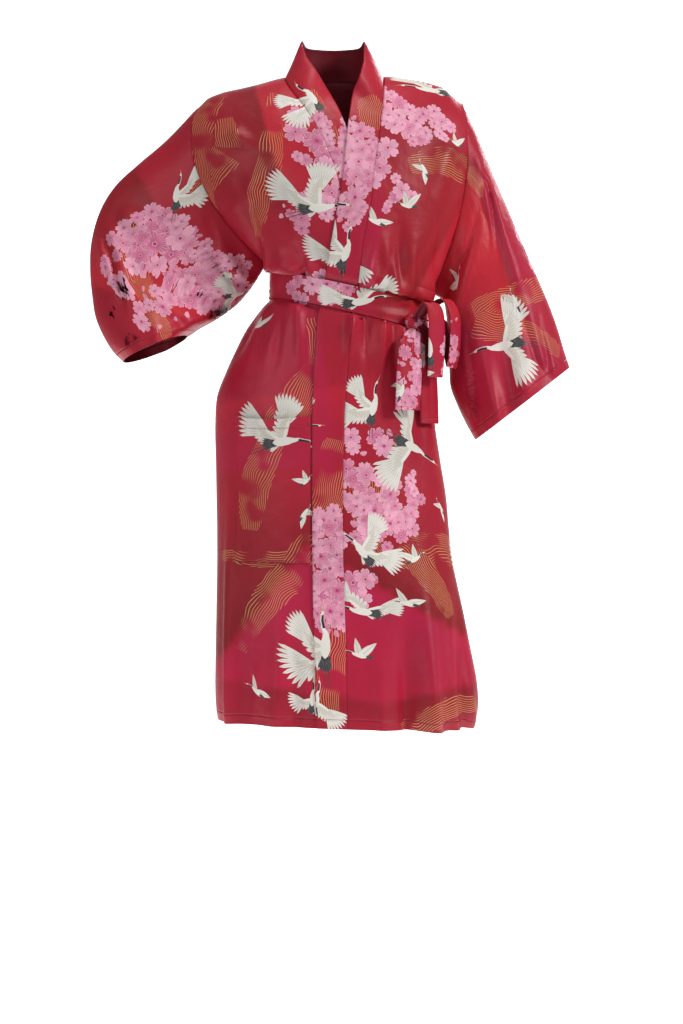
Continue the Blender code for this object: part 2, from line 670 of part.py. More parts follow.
def pocket_grid():
    """Patch pocket from the under front's points, moved out."""
    grid = []
    for r in range(POCKET_ROWS + 1):
        down = r / POCKET_ROWS
        line = []
        for c in range(POCKET_COLUMNS + 1):
            along = c / POCKET_COLUMNS
            x = mix(POCKET_LEFT_X, POCKET_RIGHT_X, along)
            gape = POCKET_SAG * math.sin(math.pi * along) * (1.0 - smooth(down / POCKET_SAG_RUN))
            z = mix(POCKET_MOUTH_Z, POCKET_FOOT_Z, down) - 2.0 * gape
            v = row_at(x, z, -1)
            out = body_normal(v, across_at(v, x, -1), -1) * (POCKET_GAP + gape)
            line.append(chest_point(x, z, UNDER) + out)
        grid.append(line)
    return grid


def sash_point(turn, v):
    """Inner face of the sash: turn 0 to 1 over the front, 1 to 2 round the back."""
    side = -1 if turn <= 1.0 else 1
    across = turn if turn <= 1.0 else 2.0 - turn
    point = body_point(v, across, side)
    out = SASH_ROOM
    if side < 0:
        lap = smooth((point.x - LAP_START_X) / LAP_RUN)
        lap *= smooth((1.0 - across) / LAP_END_SHARE)
        out += OVERLAP_LIFT * lap
    return point + body_normal(v, across, side) * out


def sash_grid():
    rows = (SASH_TOP_ROW, SASH_TOP_ROW + 1, SASH_FOOT_ROW)
    return [[sash_point(step / SASH_STEPS, v) for v in rows]
            for step in range(2 * SASH_STEPS)]


def knot_middle():
    """Middle of the knot, seated on the sash's outer face."""
    across = across_at(SASH_TOP_ROW + 1, KNOT_X, -1)
    seat = sash_point(across, SASH_TOP_ROW + 1)
    out = body_normal(SASH_TOP_ROW + 1, across, -1)
    middle = seat + out * (BAND_CLOTH + KNOT_GAP + 0.5 * KNOT_SIZE[1])
    middle.z = KNOT_Z
    return middle, math.atan2(out.x, -out.y)


def make_knot(collection):
    """Round lump of the knot, its flat side to the sash."""
    middle, turn = knot_middle()
    bpy.ops.mesh.primitive_uv_sphere_add(segments=18, ring_count=12, radius=0.5)
    knot = bpy.context.active_object
    knot.name = knot.data.name = "bow_knot"
    knot.scale = KNOT_SIZE
    bpy.ops.object.transform_apply(location=False, rotation=False, scale=True)
    knot.location = middle
    knot.rotation_euler.z = turn
    knot.data.shade_smooth()
    for home in list(knot.users_collection):
        home.objects.unlink(knot)
    collection.objects.link(knot)


def knot_seat(direction, press=0.0):
    """Root of a strip just off the knot, its width square to its direction."""
    middle, turn = knot_middle()
    way = Vector(direction).normalized()
    own = way.copy()
    own.rotate(Euler((0.0, 0.0, -turn)))
    reach = 1.0 / math.sqrt(sum((2.0 * own[k] / KNOT_SIZE[k]) ** 2 for k in range(3)))
    seat = middle + way * (reach + KNOT_GAP + BOW_CLOTH - press)
    return Ribbon(*seat, RIBBON_ROOT, math.degrees(math.atan2(way.x, -way.y)))


def ribbon_grid(direction, sections, returns=False, press=0.0):
    """Strip of the bow: it leaves the knot and follows its sections."""
    rows = [knot_seat(direction, press)] + list(sections)
    if returns:
        rows.append(knot_seat(returns))
    grid = []
    for step in range(2 * (len(rows) - 1) + 1):
        at = min(step // 2, len(rows) - 2)
        around = (rows[max(0, at - 1)], rows[at], rows[at + 1], rows[min(len(rows) - 1, at + 2)])
        here = Ribbon(*(hermite(*values, step / 2 - at) for values in zip(*around)))
        turn = math.radians(here.turn)
        wide = Vector((math.cos(turn), math.sin(turn), 0.0))
        off = Vector((math.sin(turn), -math.cos(turn), 0.0))
        middle = Vector((here.x, here.y, here.z))
        grid.append([middle + wide * (0.5 * here.width * s)
                     + off * (RIBBON_CROWN * (1.0 - s * s) * here.width)
                     for s in (-1.0, -0.5, 0.0, 0.5, 1.0)])
    return grid


def paint(made, colour, roughness):
    skin = bpy.data.materials.new(made.name)
    skin.use_nodes = True
    shader = skin.node_tree.nodes["Principled BSDF"]
    shader.inputs["Base Color"].default_value = (*colour, 1.0)
    shader.inputs["Roughness"].default_value = roughness
    shader.inputs["Metallic"].default_value = 0.0
    made.data.materials.append(skin)


def make_sewn_pieces(collection):
    """The panels, sleeves and neckband, whose walls share their seams."""
    under, over, back = front_grid(UNDER), front_grid(OVER), back_grid()
    right = sleeve_grid(HOLE_RIGHT, SLEEVE_RIGHT, SLEEVE_RIGHT_FOLDS)
    left = sleeve_grid(HOLE_LEFT, SLEEVE_LEFT, SLEEVE_LEFT_FOLDS)
    band = band_grid(under, over, back)
    pieces = [
        Cloth("front_right", under, sewn="top start end", flip=True),
        Cloth("front_left", over, sewn="top start end", flip=True),
        Cloth("back_panel", back, sewn="top start end"),
        Cloth("neckband", band, wall=BAND_CLOTH, sewn="start"),
        Cloth("sleeve_right", right, closed=True, flip=True, sewn="top"),
        Cloth("sleeve_left", left, closed=True, sewn="top")]
    normals = shared_normals(pieces)
    for piece in pieces:
        cloth_object(piece, normals, collection)


def make_bow(collection):
    make_knot(collection)
    strips = (("bow_tail_front", ribbon_grid((-0.1, -0.5, -1.0), TAIL_FRONT, press=TAIL_PRESS)),
              ("bow_tail_rear", ribbon_grid((0.6, 0.1, -1.0), TAIL_REAR)),
              ("bow_loop_inner", ribbon_grid((0.4, -1.0, 0.6), LOOP_INNER, (0.6, -1.0, -0.5))),
              ("bow_loop_outer", ribbon_grid((1.0, -0.1, 0.7), LOOP_OUTER, (1.0, 0.2, -0.3))))
    for name, grid in strips:
        strip_object(name, grid, BOW_CLOTH, collection)


def main():
    clear_scene()
    robe = bpy.data.collections.new("kimono_robe")
    bpy.context.scene.collection.children.link(robe)
    make_sewn_pieces(robe)
    strip_object("pocket", pocket_grid(), CLOTH, robe, flip=True)
    strip_object("sash", sash_grid(), BAND_CLOTH, robe, closed_rows=True)
    make_bow(robe)
    for made in robe.objects:
        paint(made, COLOURS.get(made.name, CRIMSON), ROUGHNESS)


main()
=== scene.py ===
"""Looks of the kimono robe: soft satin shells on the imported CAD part, with a printed pattern.

Metres, +Z up. The wearer faces -Y. The surface tables are those of the CAD source.
"""
import math
import random
from collections import namedtuple

import bpy
import numpy as np
from mathutils import Euler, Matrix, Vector
from mathutils.bvhtree import BVHTree
from mathutils.geometry import delaunay_2d_cdt


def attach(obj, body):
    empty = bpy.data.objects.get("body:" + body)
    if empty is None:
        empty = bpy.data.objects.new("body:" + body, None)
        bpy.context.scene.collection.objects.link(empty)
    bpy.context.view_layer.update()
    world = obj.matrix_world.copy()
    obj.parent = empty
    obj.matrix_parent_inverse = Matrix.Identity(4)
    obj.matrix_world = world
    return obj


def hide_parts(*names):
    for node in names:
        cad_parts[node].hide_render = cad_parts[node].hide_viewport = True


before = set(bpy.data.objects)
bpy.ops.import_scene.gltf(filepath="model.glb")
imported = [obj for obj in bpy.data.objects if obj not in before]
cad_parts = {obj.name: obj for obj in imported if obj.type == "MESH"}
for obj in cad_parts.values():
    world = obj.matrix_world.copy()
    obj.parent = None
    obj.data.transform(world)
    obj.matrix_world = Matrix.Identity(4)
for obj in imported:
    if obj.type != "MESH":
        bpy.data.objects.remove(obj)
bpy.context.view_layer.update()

# Room between pieces, as in the CAD source
OVERLAP_LIFT = 0.0034
SASH_ROOM = 0.0007
BAND_CLOTH = 0.0020

# How folds and lifts fade: in rows of the grid, or as a share of a row
NIP_ROWS = 0.45
SEWN_ROWS = 3.0
SEWN_SHARE = 0.12
LIFT_ROWS = 5.0
FOLD_RUN_IN = 0.25
FOLD_RISE = 0.3

# Grid of the CAD panels, and how much finer the shells are
YOKE_ROWS = 12
PANEL_COLUMNS = 14
NECK_COLUMNS = 6
FINE_ROWS = 5
FINE_COLUMNS = 5
BACK_FINE_ROWS = 4
BACK_FINE_COLUMNS = 3
BAND_STRIPS = 12



# The chest above the underarm
CHEST_FRONT = 0.124
CHEST_BACK = 0.108
CHEST_FULL_AT = 0.62
UNDERARM_EASE = 0.06
RING_POWER = 2.3
SHOULDER_POWER = 0.8
NECK_HOLLOW = 0.068
NECK_ROWS = 5
NECK_ROUND = 0.8
BACK_EASE_ROWS = 8.0
BACK_HALF_NECK = 0.07
NECK_LEFT_X = -0.075
NECK_RIGHT_X = 0.081
LAST_COLLAR_ROW = 3

Armhole = namedtuple("Armhole", "top_x top_z low_x low_z bow half_depth")
HOLE_RIGHT = Armhole(-0.219, -0.051, -0.108, -0.300, -0.045, 0.050)
HOLE_LEFT = Armhole(0.207, -0.043, 0.155, -0.345, 0.025, 0.052)

# Shoulder line seen from the front: x, z
SHOULDER_LINE = (
    (-0.219, -0.051), (-0.200, -0.034), (-0.175, -0.024), (-0.130, -0.014),
    (-0.075, 0.000), (0.000, 0.003), (0.081, 0.001), (0.106, -0.001),
    (0.154, -0.010), (0.180, -0.020), (0.207, -0.043))

# Rings below the underarm, one row a section, down to the hem
Ring = namedtuple("Ring", "x_left z_left x_right z_right front back")
RINGS = (
    Ring(-0.103, -0.306, 0.152, -0.357, 0.114, 0.098),
    Ring(-0.100, -0.313, 0.149, -0.369, 0.108, 0.092),
    Ring(-0.100, -0.334, 0.148, -0.391, 0.105, 0.089),
    Ring(-0.101, -0.356, 0.149, -0.413, 0.105, 0.089),
    Ring(-0.114, -0.371, 0.151, -0.426, 0.109, 0.096),
    Ring(-0.138, -0.403, 0.153, -0.450, 0.114, 0.107),
    Ring(-0.156, -0.438, 0.155, -0.478, 0.117, 0.115),
    Ring(-0.172, -0.474, 0.157, -0.508, 0.119, 0.121),
    Ring(-0.186, -0.512, 0.160, -0.540, 0.121, 0.125),
    Ring(-0.189, -0.560, 0.165, -0.578, 0.123, 0.127),
    Ring(-0.188, -0.612, 0.172, -0.622, 0.124, 0.128),
    Ring(-0.187, -0.667, 0.180, -0.672, 0.126, 0.128),
    Ring(-0.186, -0.725, 0.185, -0.728, 0.128, 0.128),
    Ring(-0.186, -0.785, 0.193, -0.788, 0.129, 0.128),
    Ring(-0.187, -0.845, 0.206, -0.848, 0.131, 0.129),
    Ring(-0.188, -0.905, 0.218, -0.908, 0.132, 0.129),
    Ring(-0.189, -0.965, 0.229, -0.965, 0.134, 0.130),
    Ring(-0.188, -1.003, 0.231, -1.008, 0.135, 0.130),
    Ring(-0.185, -1.026, 0.224, -1.038, 0.135, 0.130))
ROWS = YOKE_ROWS + len(RINGS)
SASH_TOP_ROW = YOKE_ROWS + 2
SASH_FOOT_ROW = YOKE_ROWS + 4

# Lines of the two front edges: z, x of the band seam, x of the free edge
OVER_LINES = (
    (0.001, 0.081, 0.050), (-0.054, 0.078, 0.029), (-0.100, 0.072, 0.022),
    (-0.182, 0.061, 0.014), (-0.216, 0.058, 0.008), (-0.279, 0.046, -0.003),
    (-0.344, 0.038, -0.014), (-0.400, 0.028, -0.026), (-0.539, 0.018, -0.032),
    (-0.722, 0.015, -0.032), (-0.874, 0.019, -0.030), (-1.045, 0.022, -0.025))
UNDER_LINES = (
    (0.001, -0.075, -0.050), (-0.012, -0.075, -0.040), (-0.075, -0.037, 0.000),
    (-0.119, -0.013, 0.028), (-0.180, 0.008, 0.053), (-0.250, 0.021, 0.068),
    (-0.344, 0.028, 0.076), (-0.539, 0.030, 0.078), (-0.800, 0.032, 0.080),
    (-1.045, 0.034, 0.082))

# Free edge of the standing collar at the first rows: x, y, z
OVER_COLLAR = (
    (0.0500, -0.004, 0.0570), (0.0495, -0.015, 0.0430),
    (0.0475, -0.034, 0.0180), (0.0410, -0.056, -0.0080))
UNDER_COLLAR = (
    (-0.0510, -0.004, 0.0580), (-0.0490, -0.015, 0.0460),
    (-0.0410, -0.033, 0.0250), (-0.0260, -0.053, 0.0010))
# Its free edge where it meets the chest: x, z
OVER_CHEST = (
    (0.0315, -0.032), (0.0265, -0.064), (0.0222, -0.099), (0.0185, -0.137),
    (0.0145, -0.180), (0.0065, -0.224), (-0.0010, -0.266), (-0.0070, -0.299))
UNDER_CHEST = (
    (-0.0080, -0.030), (0.0090, -0.064), (0.0205, -0.094), (0.0370, -0.133),
    (0.0530, -0.178), (0.0645, -0.222), (0.0700, -0.265), (0.0735, -0.300))
COLLAR_BACK_Y = 0.054
COLLAR_BACK_Z = 0.053
COLLAR_BELLY = 0.004

# Steps of the searches on the surface, and of its slope
HALVINGS = 30
SEAM_STEPS = 8
SLOPE_ACROSS = 0.01
SLOPE_ROWS = 0.25
SLOPE_MARGIN = 0.3
SIDEWAYS = 0.05

# Sleeve rings from armhole to cuff: outer line, inner line, half depth, middle y
SLEEVE_EASE_RINGS = 2.0
ARMHOLE_BOW_RINGS = 3.0
SLEEVE_RIM = 0.7
Cuffward = namedtuple("Cuffward", "out_x out_z in_x in_z half_depth y")
SLEEVE_RIGHT = (
    Cuffward(-0.266, -0.100, -0.120, -0.320, 0.048, 0.002),
    Cuffward(-0.311, -0.138, -0.130, -0.335, 0.046, 0.004),
    Cuffward(-0.349, -0.173, -0.140, -0.348, 0.045, 0.006),
    Cuffward(-0.374, -0.213, -0.150, -0.359, 0.046, 0.008),
    Cuffward(-0.388, -0.262, -0.161, -0.369, 0.050, 0.008),
    Cuffward(-0.390, -0.309, -0.173, -0.378, 0.056, 0.006),
    Cuffward(-0.386, -0.352, -0.186, -0.387, 0.064, 0.003),
    Cuffward(-0.380, -0.386, -0.198, -0.394, 0.073, 0.000),
    Cuffward(-0.367, -0.416, -0.210, -0.400, 0.082, -0.003),
    Cuffward(-0.352, -0.440, -0.222, -0.407, 0.089, -0.006),
    Cuffward(-0.335, -0.457, -0.234, -0.415, 0.093, -0.008))
SLEEVE_LEFT = (
    Cuffward(0.230, -0.092, 0.175, -0.357, 0.050, 0.000),
    Cuffward(0.252, -0.148, 0.180, -0.378, 0.048, -0.002),
    Cuffward(0.276, -0.205, 0.182, -0.405, 0.048, -0.004),
    Cuffward(0.299, -0.260, 0.183, -0.435, 0.050, -0.006),
    Cuffward(0.320, -0.309, 0.185, -0.465, 0.054, -0.009),
    Cuffward(0.340, -0.356, 0.187, -0.496, 0.058, -0.012),
    Cuffward(0.356, -0.400, 0.198, -0.526, 0.062, -0.015),
    Cuffward(0.366, -0.435, 0.211, -0.554, 0.066, -0.018),
    Cuffward(0.376, -0.466, 0.226, -0.581, 0.068, -0.020))

# Folds seen from the front, strongest at their first end: x, z to x, z, width, height
Fold = namedtuple("Fold", "x1 z1 x2 z2 width height")
UNDER_FOLDS = (
    Fold(-0.030, -0.322, -0.066, -0.262, 0.013, 0.0050),
    Fold(-0.052, -0.318, -0.110, -0.284, 0.012, 0.0050),
    Fold(-0.078, -0.312, -0.150, -0.262, 0.016, 0.0060),
    Fold(-0.040, -0.300, -0.150, -0.100, 0.022, -0.0050),
    Fold(-0.070, -0.380, -0.110, -0.470, 0.018, 0.0050),
    Fold(-0.108, -0.385, -0.150, -0.500, 0.016, -0.0045),
    Fold(-0.150, -1.020, -0.160, -0.560, 0.014, 0.0060),
    Fold(-0.128, -1.020, -0.140, -0.800, 0.016, -0.0050))
OVER_FOLDS = (
    Fold(0.098, -0.352, 0.068, -0.230, 0.012, 0.0060),
    Fold(0.116, -0.356, 0.134, -0.220, 0.013, 0.0070),
    Fold(0.132, -0.360, 0.180, -0.276, 0.012, 0.0060),
    Fold(0.107, -0.350, 0.100, -0.200, 0.010, -0.0045),
    Fold(0.078, -0.345, 0.020, -0.280, 0.016, 0.0030),
    Fold(0.034, -0.398, 0.026, -0.470, 0.012, 0.0045),
    Fold(0.072, -0.402, 0.074, -0.500, 0.013, 0.0050),
    Fold(0.096, -0.408, 0.104, -0.620, 0.014, 0.0060),
    Fold(0.120, -0.412, 0.140, -0.700, 0.014, -0.0050),
    Fold(0.150, -1.030, 0.135, -0.700, 0.020, 0.0070),
    Fold(0.190, -1.030, 0.165, -0.750, 0.016, -0.0060),
    Fold(0.118, -1.030, 0.110, -0.820, 0.014, -0.0040))
BACK_FOLDS = (
    Fold(-0.060, -0.325, -0.090, -0.200, 0.014, 0.0060),
    Fold(-0.030, -0.330, -0.034, -0.160, 0.014, 0.0065),
    Fold(0.004, -0.335, 0.010, -0.190, 0.012, 0.0055),
    Fold(0.040, -0.342, 0.058, -0.150, 0.015, 0.0065),
    Fold(0.080, -0.350, 0.120, -0.220, 0.014, 0.0060),
    Fold(0.112, -0.358, 0.160, -0.270, 0.012, 0.0050),
    Fold(-0.066, -0.375, -0.100, -0.520, 0.014, 0.0055),
    Fold(-0.030, -0.380, -0.040, -0.560, 0.014, 0.0060),
    Fold(0.012, -0.388, 0.016, -0.540, 0.013, 0.0055),
    Fold(0.052, -0.396, 0.070, -0.600, 0.015, 0.0065),
    Fold(0.092, -0.404, 0.120, -0.560, 0.013, 0.0055),
    Fold(-0.120, -1.020, -0.110, -0.700, 0.024, 0.0070),
    Fold(-0.040, -1.030, -0.030, -0.720, 0.026, -0.0060),
    Fold(0.040, -1.030, 0.030, -0.640, 0.026, 0.0075),
    Fold(0.130, -1.030, 0.110, -0.700, 0.024, -0.0060),
    Fold(0.180, -1.030, 0.160, -0.780, 0.018, 0.0060))
SLEEVE_RIGHT_FOLDS = (
    Fold(-0.150, -0.318, -0.222, -0.180, 0.018, -0.0090),
    Fold(-0.140, -0.344, -0.250, -0.280, 0.016, 0.0070),
    Fold(-0.372, -0.270, -0.345, -0.372, 0.012, 0.0060),
    Fold(-0.352, -0.262, -0.300, -0.400, 0.014, -0.0050),
    Fold(-0.215, -0.398, -0.330, -0.330, 0.014, 0.0050))
SLEEVE_LEFT_FOLDS = (
    Fold(0.170, -0.372, 0.226, -0.180, 0.014, -0.0080),
    Fold(0.176, -0.400, 0.262, -0.180, 0.014, 0.0070),
    Fold(0.292, -0.325, 0.262, -0.166, 0.016, 0.0060),
    Fold(0.250, -0.560, 0.235, -0.380, 0.018, 0.0060),
    Fold(0.310, -0.505, 0.290, -0.360, 0.018, -0.0055))

# The two fronts: edge lines, collar, folds, which end of a row is loose, and lift
Front = namedtuple("Front", "lines collar chest folds loose lift")
UNDER = Front(UNDER_LINES, UNDER_COLLAR, UNDER_CHEST, UNDER_FOLDS, 1, 0.0)
OVER = Front(OVER_LINES, OVER_COLLAR, OVER_CHEST, OVER_FOLDS, -1, OVERLAP_LIFT)

# Patch pocket on the under front, seen from the front
POCKET_LEFT_X = -0.152
POCKET_RIGHT_X = -0.0350
POCKET_MOUTH_Z = -0.547
POCKET_FOOT_Z = -0.775
POCKET_GAP = 0.0007
POCKET_SAG = 0.0025
POCKET_SAG_RUN = 0.35
POCKET_COLUMNS = 7
POCKET_ROWS = 6

# Sash and knot
SASH_STEPS = 28
LAP_START_X = -0.075
LAP_RUN = 0.035
LAP_END_SHARE = 0.10
KNOT_X = 0.116
KNOT_Z = -0.3975
KNOT_SIZE = (0.036, 0.024, 0.032)
KNOT_GAP = 0.0005

# Strips of the bow: middle, width, and the turn of the width about the vertical
Ribbon = namedtuple("Ribbon", "x y z width turn")
BOW_CLOTH = 0.0018
RIBBON_ROOT = 0.016
TAIL_PRESS = 0.0012
RIBBON_CROWN = 0.06
TAIL_FRONT = (
    Ribbon(0.1205, -0.116, -0.432, 0.038, 30),
    Ribbon(0.1190, -0.119, -0.469, 0.045, 30),
    Ribbon(0.1176, -0.119, -0.505, 0.045, 28),
    Ribbon(0.1160, -0.118, -0.538, 0.043, 26))
TAIL_REAR = (
    Ribbon(0.1450, -0.0776, -0.430, 0.032, 44),
    Ribbon(0.1490, -0.072, -0.468, 0.039, 44),
    Ribbon(0.1510, -0.070, -0.512, 0.040, 42),
    Ribbon(0.1520, -0.069, -0.557, 0.039, 40))
LOOP_INNER = (
    Ribbon(0.1470, -0.114, -0.371, 0.026, 35),
    Ribbon(0.1590, -0.112, -0.381, 0.031, 35),
    Ribbon(0.1620, -0.107, -0.420, 0.033, 35),
    Ribbon(0.1610, -0.103, -0.460, 0.032, 35),
    Ribbon(0.1590, -0.094, -0.486, 0.030, 35),
    Ribbon(0.1560, -0.085, -0.460, 0.031, 35),
    Ribbon(0.1530, -0.085, -0.425, 0.028, 35))
LOOP_OUTER = (
    Ribbon(0.1640, -0.084, -0.366, 0.028, 58),
    Ribbon(0.1800, -0.086, -0.365, 0.033, 60),
    Ribbon(0.1910, -0.087, -0.388, 0.035, 60),
    Ribbon(0.1920, -0.086, -0.425, 0.035, 60),
    Ribbon(0.1890, -0.084, -0.455, 0.034, 60),
    Ribbon(0.1850, -0.076, -0.470, 0.032, 60),
    Ribbon(0.1810, -0.068, -0.450, 0.032, 60),
    Ribbon(0.1770, -0.066, -0.415, 0.030, 60),
    Ribbon(0.1660, -0.068, -0.393, 0.024, 58))



# How finely the shells are divided, how far they sink at the seams, the pocket's wall and the knot's bite
SEAM_CLOSE = 0.4
SLEEVE_FINE = 6
SLEEVE_COLUMNS = 168
SEAM_SINK = 0.0008
SASH_FINE = 4
SASH_ROWS_FINE = 12
RIBBON_FINE = 8
RIBBON_COLUMNS = 16
POCKET_WALL = 0.0015
KNOT_BITE = 0.004

# Soft folds and creases of the shells beyond the CAD folds, in pixels of the picture,
# strongest at their first end: x, y to x, y, width and height in metres
FOLD_GAIN = 2.0
CREASE_GAIN = 2.0
CREASE_STEEP = 1.25
FOLD_DEPTH = -0.11
UNDER_CREASES = (
    (316, 277, 290, 236, 0.0065, 0.0045), (309, 276, 298, 238, 0.0050, -0.0030),
    (296, 271, 256, 250, 0.0090, 0.0055), (286, 268, 248, 232, 0.0080, -0.0040),
    (234, 131, 262, 152, 0.0120, 0.0040), (264, 262, 232, 150, 0.0100, -0.0045),
    (270, 266, 252, 180, 0.0080, 0.0045), (240, 200, 300, 130, 0.0160, 0.0035),
    (262, 312, 234, 400, 0.0110, 0.0045), (284, 312, 268, 392, 0.0080, -0.0035),
    (300, 312, 298, 380, 0.0080, 0.0035), (248, 318, 226, 372, 0.0080, -0.0035),
    (230, 716, 229, 440, 0.0070, 0.0060), (239, 716, 238, 500, 0.0090, -0.0035),
    (275, 722, 282, 590, 0.0130, 0.0045), (296, 722, 292, 570, 0.0110, -0.0035),
    (252, 720, 262, 640, 0.0100, 0.0030))
OVER_CREASES = (
    (400, 297, 409, 221, 0.0060, 0.0055), (411, 299, 420, 225, 0.0055, -0.0045),
    (422, 299, 452, 240, 0.0070, 0.0055), (364, 290, 381, 214, 0.0090, 0.0045),
    (386, 296, 394, 220, 0.0060, -0.0035), (436, 300, 462, 236, 0.0080, 0.0045),
    (430, 300, 446, 200, 0.0070, -0.0040), (446, 150, 420, 250, 0.0160, 0.0040),
    (352, 321, 347, 370, 0.0060, 0.0045), (366, 322, 366, 380, 0.0060, -0.0030),
    (381, 321, 380, 400, 0.0060, 0.0050), (392, 324, 396, 430, 0.0065, -0.0040),
    (402, 330, 406, 480, 0.0070, 0.0045), (428, 330, 440, 450, 0.0080, 0.0045),
    (418, 334, 426, 480, 0.0070, -0.0040), (456, 732, 440, 520, 0.0110, 0.0065),
    (468, 730, 454, 560, 0.0090, -0.0050), (432, 732, 422, 540, 0.0130, 0.0050),
    (408, 732, 402, 600, 0.0120, -0.0045), (382, 732, 378, 630, 0.0120, 0.0035),
    (474, 730, 464, 640, 0.0060, 0.0050))
BACK_CREASES = (
    (240, 262, 206, 140, 0.0100, -0.0050), (262, 276, 240, 170, 0.0080, 0.0050),
    (300, 282, 290, 190, 0.0070, 0.0045), (322, 284, 318, 210, 0.0060, -0.0035),
    (350, 286, 356, 200, 0.0070, 0.0045), (372, 288, 384, 210, 0.0060, -0.0035),
    (398, 292, 420, 180, 0.0080, 0.0050), (420, 296, 446, 190, 0.0090, -0.0045),
    (290, 320, 276, 420, 0.0070, 0.0045), (318, 322, 312, 440, 0.0070, -0.0040),
    (340, 322, 340, 430, 0.0070, 0.0045), (364, 324, 372, 440, 0.0070, -0.0040),
    (388, 328, 404, 450, 0.0080, 0.0045), (416, 330, 438, 430, 0.0080, -0.0040),
    (240, 716, 250, 500, 0.0100, 0.0060), (286, 724, 290, 560, 0.0120, -0.0050),
    (330, 728, 326, 520, 0.0140, 0.0055), (376, 730, 366, 600, 0.0120, -0.0050),
    (424, 732, 410, 540, 0.0130, 0.0060), (460, 730, 448, 580, 0.0100, -0.0050))
SLEEVE_RIGHT_CREASES = (
    (262, 268, 210, 236, 0.0095, 0.0070), (252, 276, 186, 256, 0.0090, -0.0060),
    (240, 290, 168, 292, 0.0100, 0.0055), (212, 236, 203, 196, 0.0080, 0.0060),
    (228, 150, 188, 186, 0.0120, -0.0050), (214, 112, 158, 164, 0.0140, 0.0050),
    (104, 256, 120, 312, 0.0080, 0.0060), (116, 262, 134, 330, 0.0090, -0.0045),
    (200, 334, 150, 318, 0.0100, 0.0050), (160, 352, 148, 284, 0.0120, 0.0045),
    (184, 346, 176, 300, 0.0090, -0.0040), (120, 210, 160, 230, 0.0120, 0.0040))
SLEEVE_LEFT_CREASES = (
    (498, 186, 518, 282, 0.0080, 0.0065), (488, 180, 500, 262, 0.0070, -0.0050),
    (463, 244, 474, 192, 0.0080, -0.0060), (448, 296, 470, 232, 0.0080, 0.0055),
    (478, 146, 502, 206, 0.0120, 0.0050), (544, 356, 520, 264, 0.0110, 0.0050),
    (500, 424, 478, 320, 0.0120, 0.0055), (474, 414, 460, 322, 0.0110, -0.0050),
    (526, 396, 500, 296, 0.0110, -0.0045), (556, 366, 540, 300, 0.0090, -0.0040),
    (486, 424, 470, 350, 0.0080, 0.0035))

# Lengthwise creases of the sash: x from, share down it, x to, share, width as a share, depth
Crease = namedtuple("Crease", "x1 z1 x2 z2 width height")
CREASE_END = 0.3
SASH_CREASES = (
    Crease(0.020, 0.55, 0.125, 0.45, 0.10, -0.0016),
    Crease(0.048, 0.25, 0.130, 0.38, 0.09, -0.0012),
    Crease(0.060, 0.80, 0.128, 0.62, 0.08, 0.0012),
    Crease(-0.060, 0.35, 0.020, 0.30, 0.12, -0.0007),
    Crease(-0.120, 0.60, -0.030, 0.70, 0.12, -0.0006))

# Gathers of a strip: share across, spread, section it is deepest at, run, depth
GATHERS_TAIL_FRONT = (
    (-0.35, 0.16, 0.6, 1.0, -0.0030), (0.15, 0.14, 0.5, 1.2, 0.0026),
    (0.55, 0.15, 0.7, 1.0, -0.0026), (-0.7, 0.14, 1.5, 1.0, 0.0012))
GATHERS_TAIL_REAR = (
    (-0.3, 0.18, 0.6, 1.1, -0.0028), (0.3, 0.16, 0.6, 1.2, 0.0026), (0.05, 0.2, 2.6, 1.2, -0.0012))
GATHERS_LOOP_INNER = (
    (-0.3, 0.18, 0.7, 1.2, -0.0030), (0.35, 0.16, 0.8, 1.2, 0.0024), (0.0, 0.18, 6.8, 1.2, -0.0024))
GATHERS_LOOP_OUTER = (
    (-0.25, 0.18, 0.8, 1.4, -0.0030), (0.35, 0.16, 1.0, 1.4, 0.0026), (0.1, 0.18, 8.8, 1.4, -0.0024))

# Hems, as turned up and stitched: the lines of stitches, each by its edge and inset
HEM = 0.015
STITCH_PITCH = 0.0030
STITCH_LENGTH = 0.0023
STITCH_WIDTH = 0.0006
STITCH_HEIGHT = 0.0005
STITCHED = {
    "front_right": (("foot", HEM),), "front_left": (("foot", HEM),),
    "back_panel": (("foot", HEM),), "neckband": (("foot", HEM), ("top", HEM)),
    "sleeve_right": (("foot", HEM),), "sleeve_left": (("foot", HEM),),
    "pocket": (("top", HEM), ("start", 0.0025), ("end", 0.0025), ("foot", 0.0025)),
    "bow_tail_front": (("foot", 0.0050),), "bow_tail_rear": (("foot", 0.0050),)}

# The knot's wrapped strip, laid flat
KNOT_STRIP = (0.045, 0.120)

# Record for what a sheet of cloth hangs or lies on and how it is held; no sheet is given one
Hold = namedtuple("Hold", "held rests_on")

# The flat cuts
FLAT_STEPS = 420
FLAT_PULL = 0.20
LEAST_DROP = 0.3

# The picture: camera place, and where the row frame's origin shows in it
CAMERA = (0.013, -3.870, -0.696)
PIXEL = 0.0016
PIXEL_X = 333.5
PIXEL_Z = 77.0

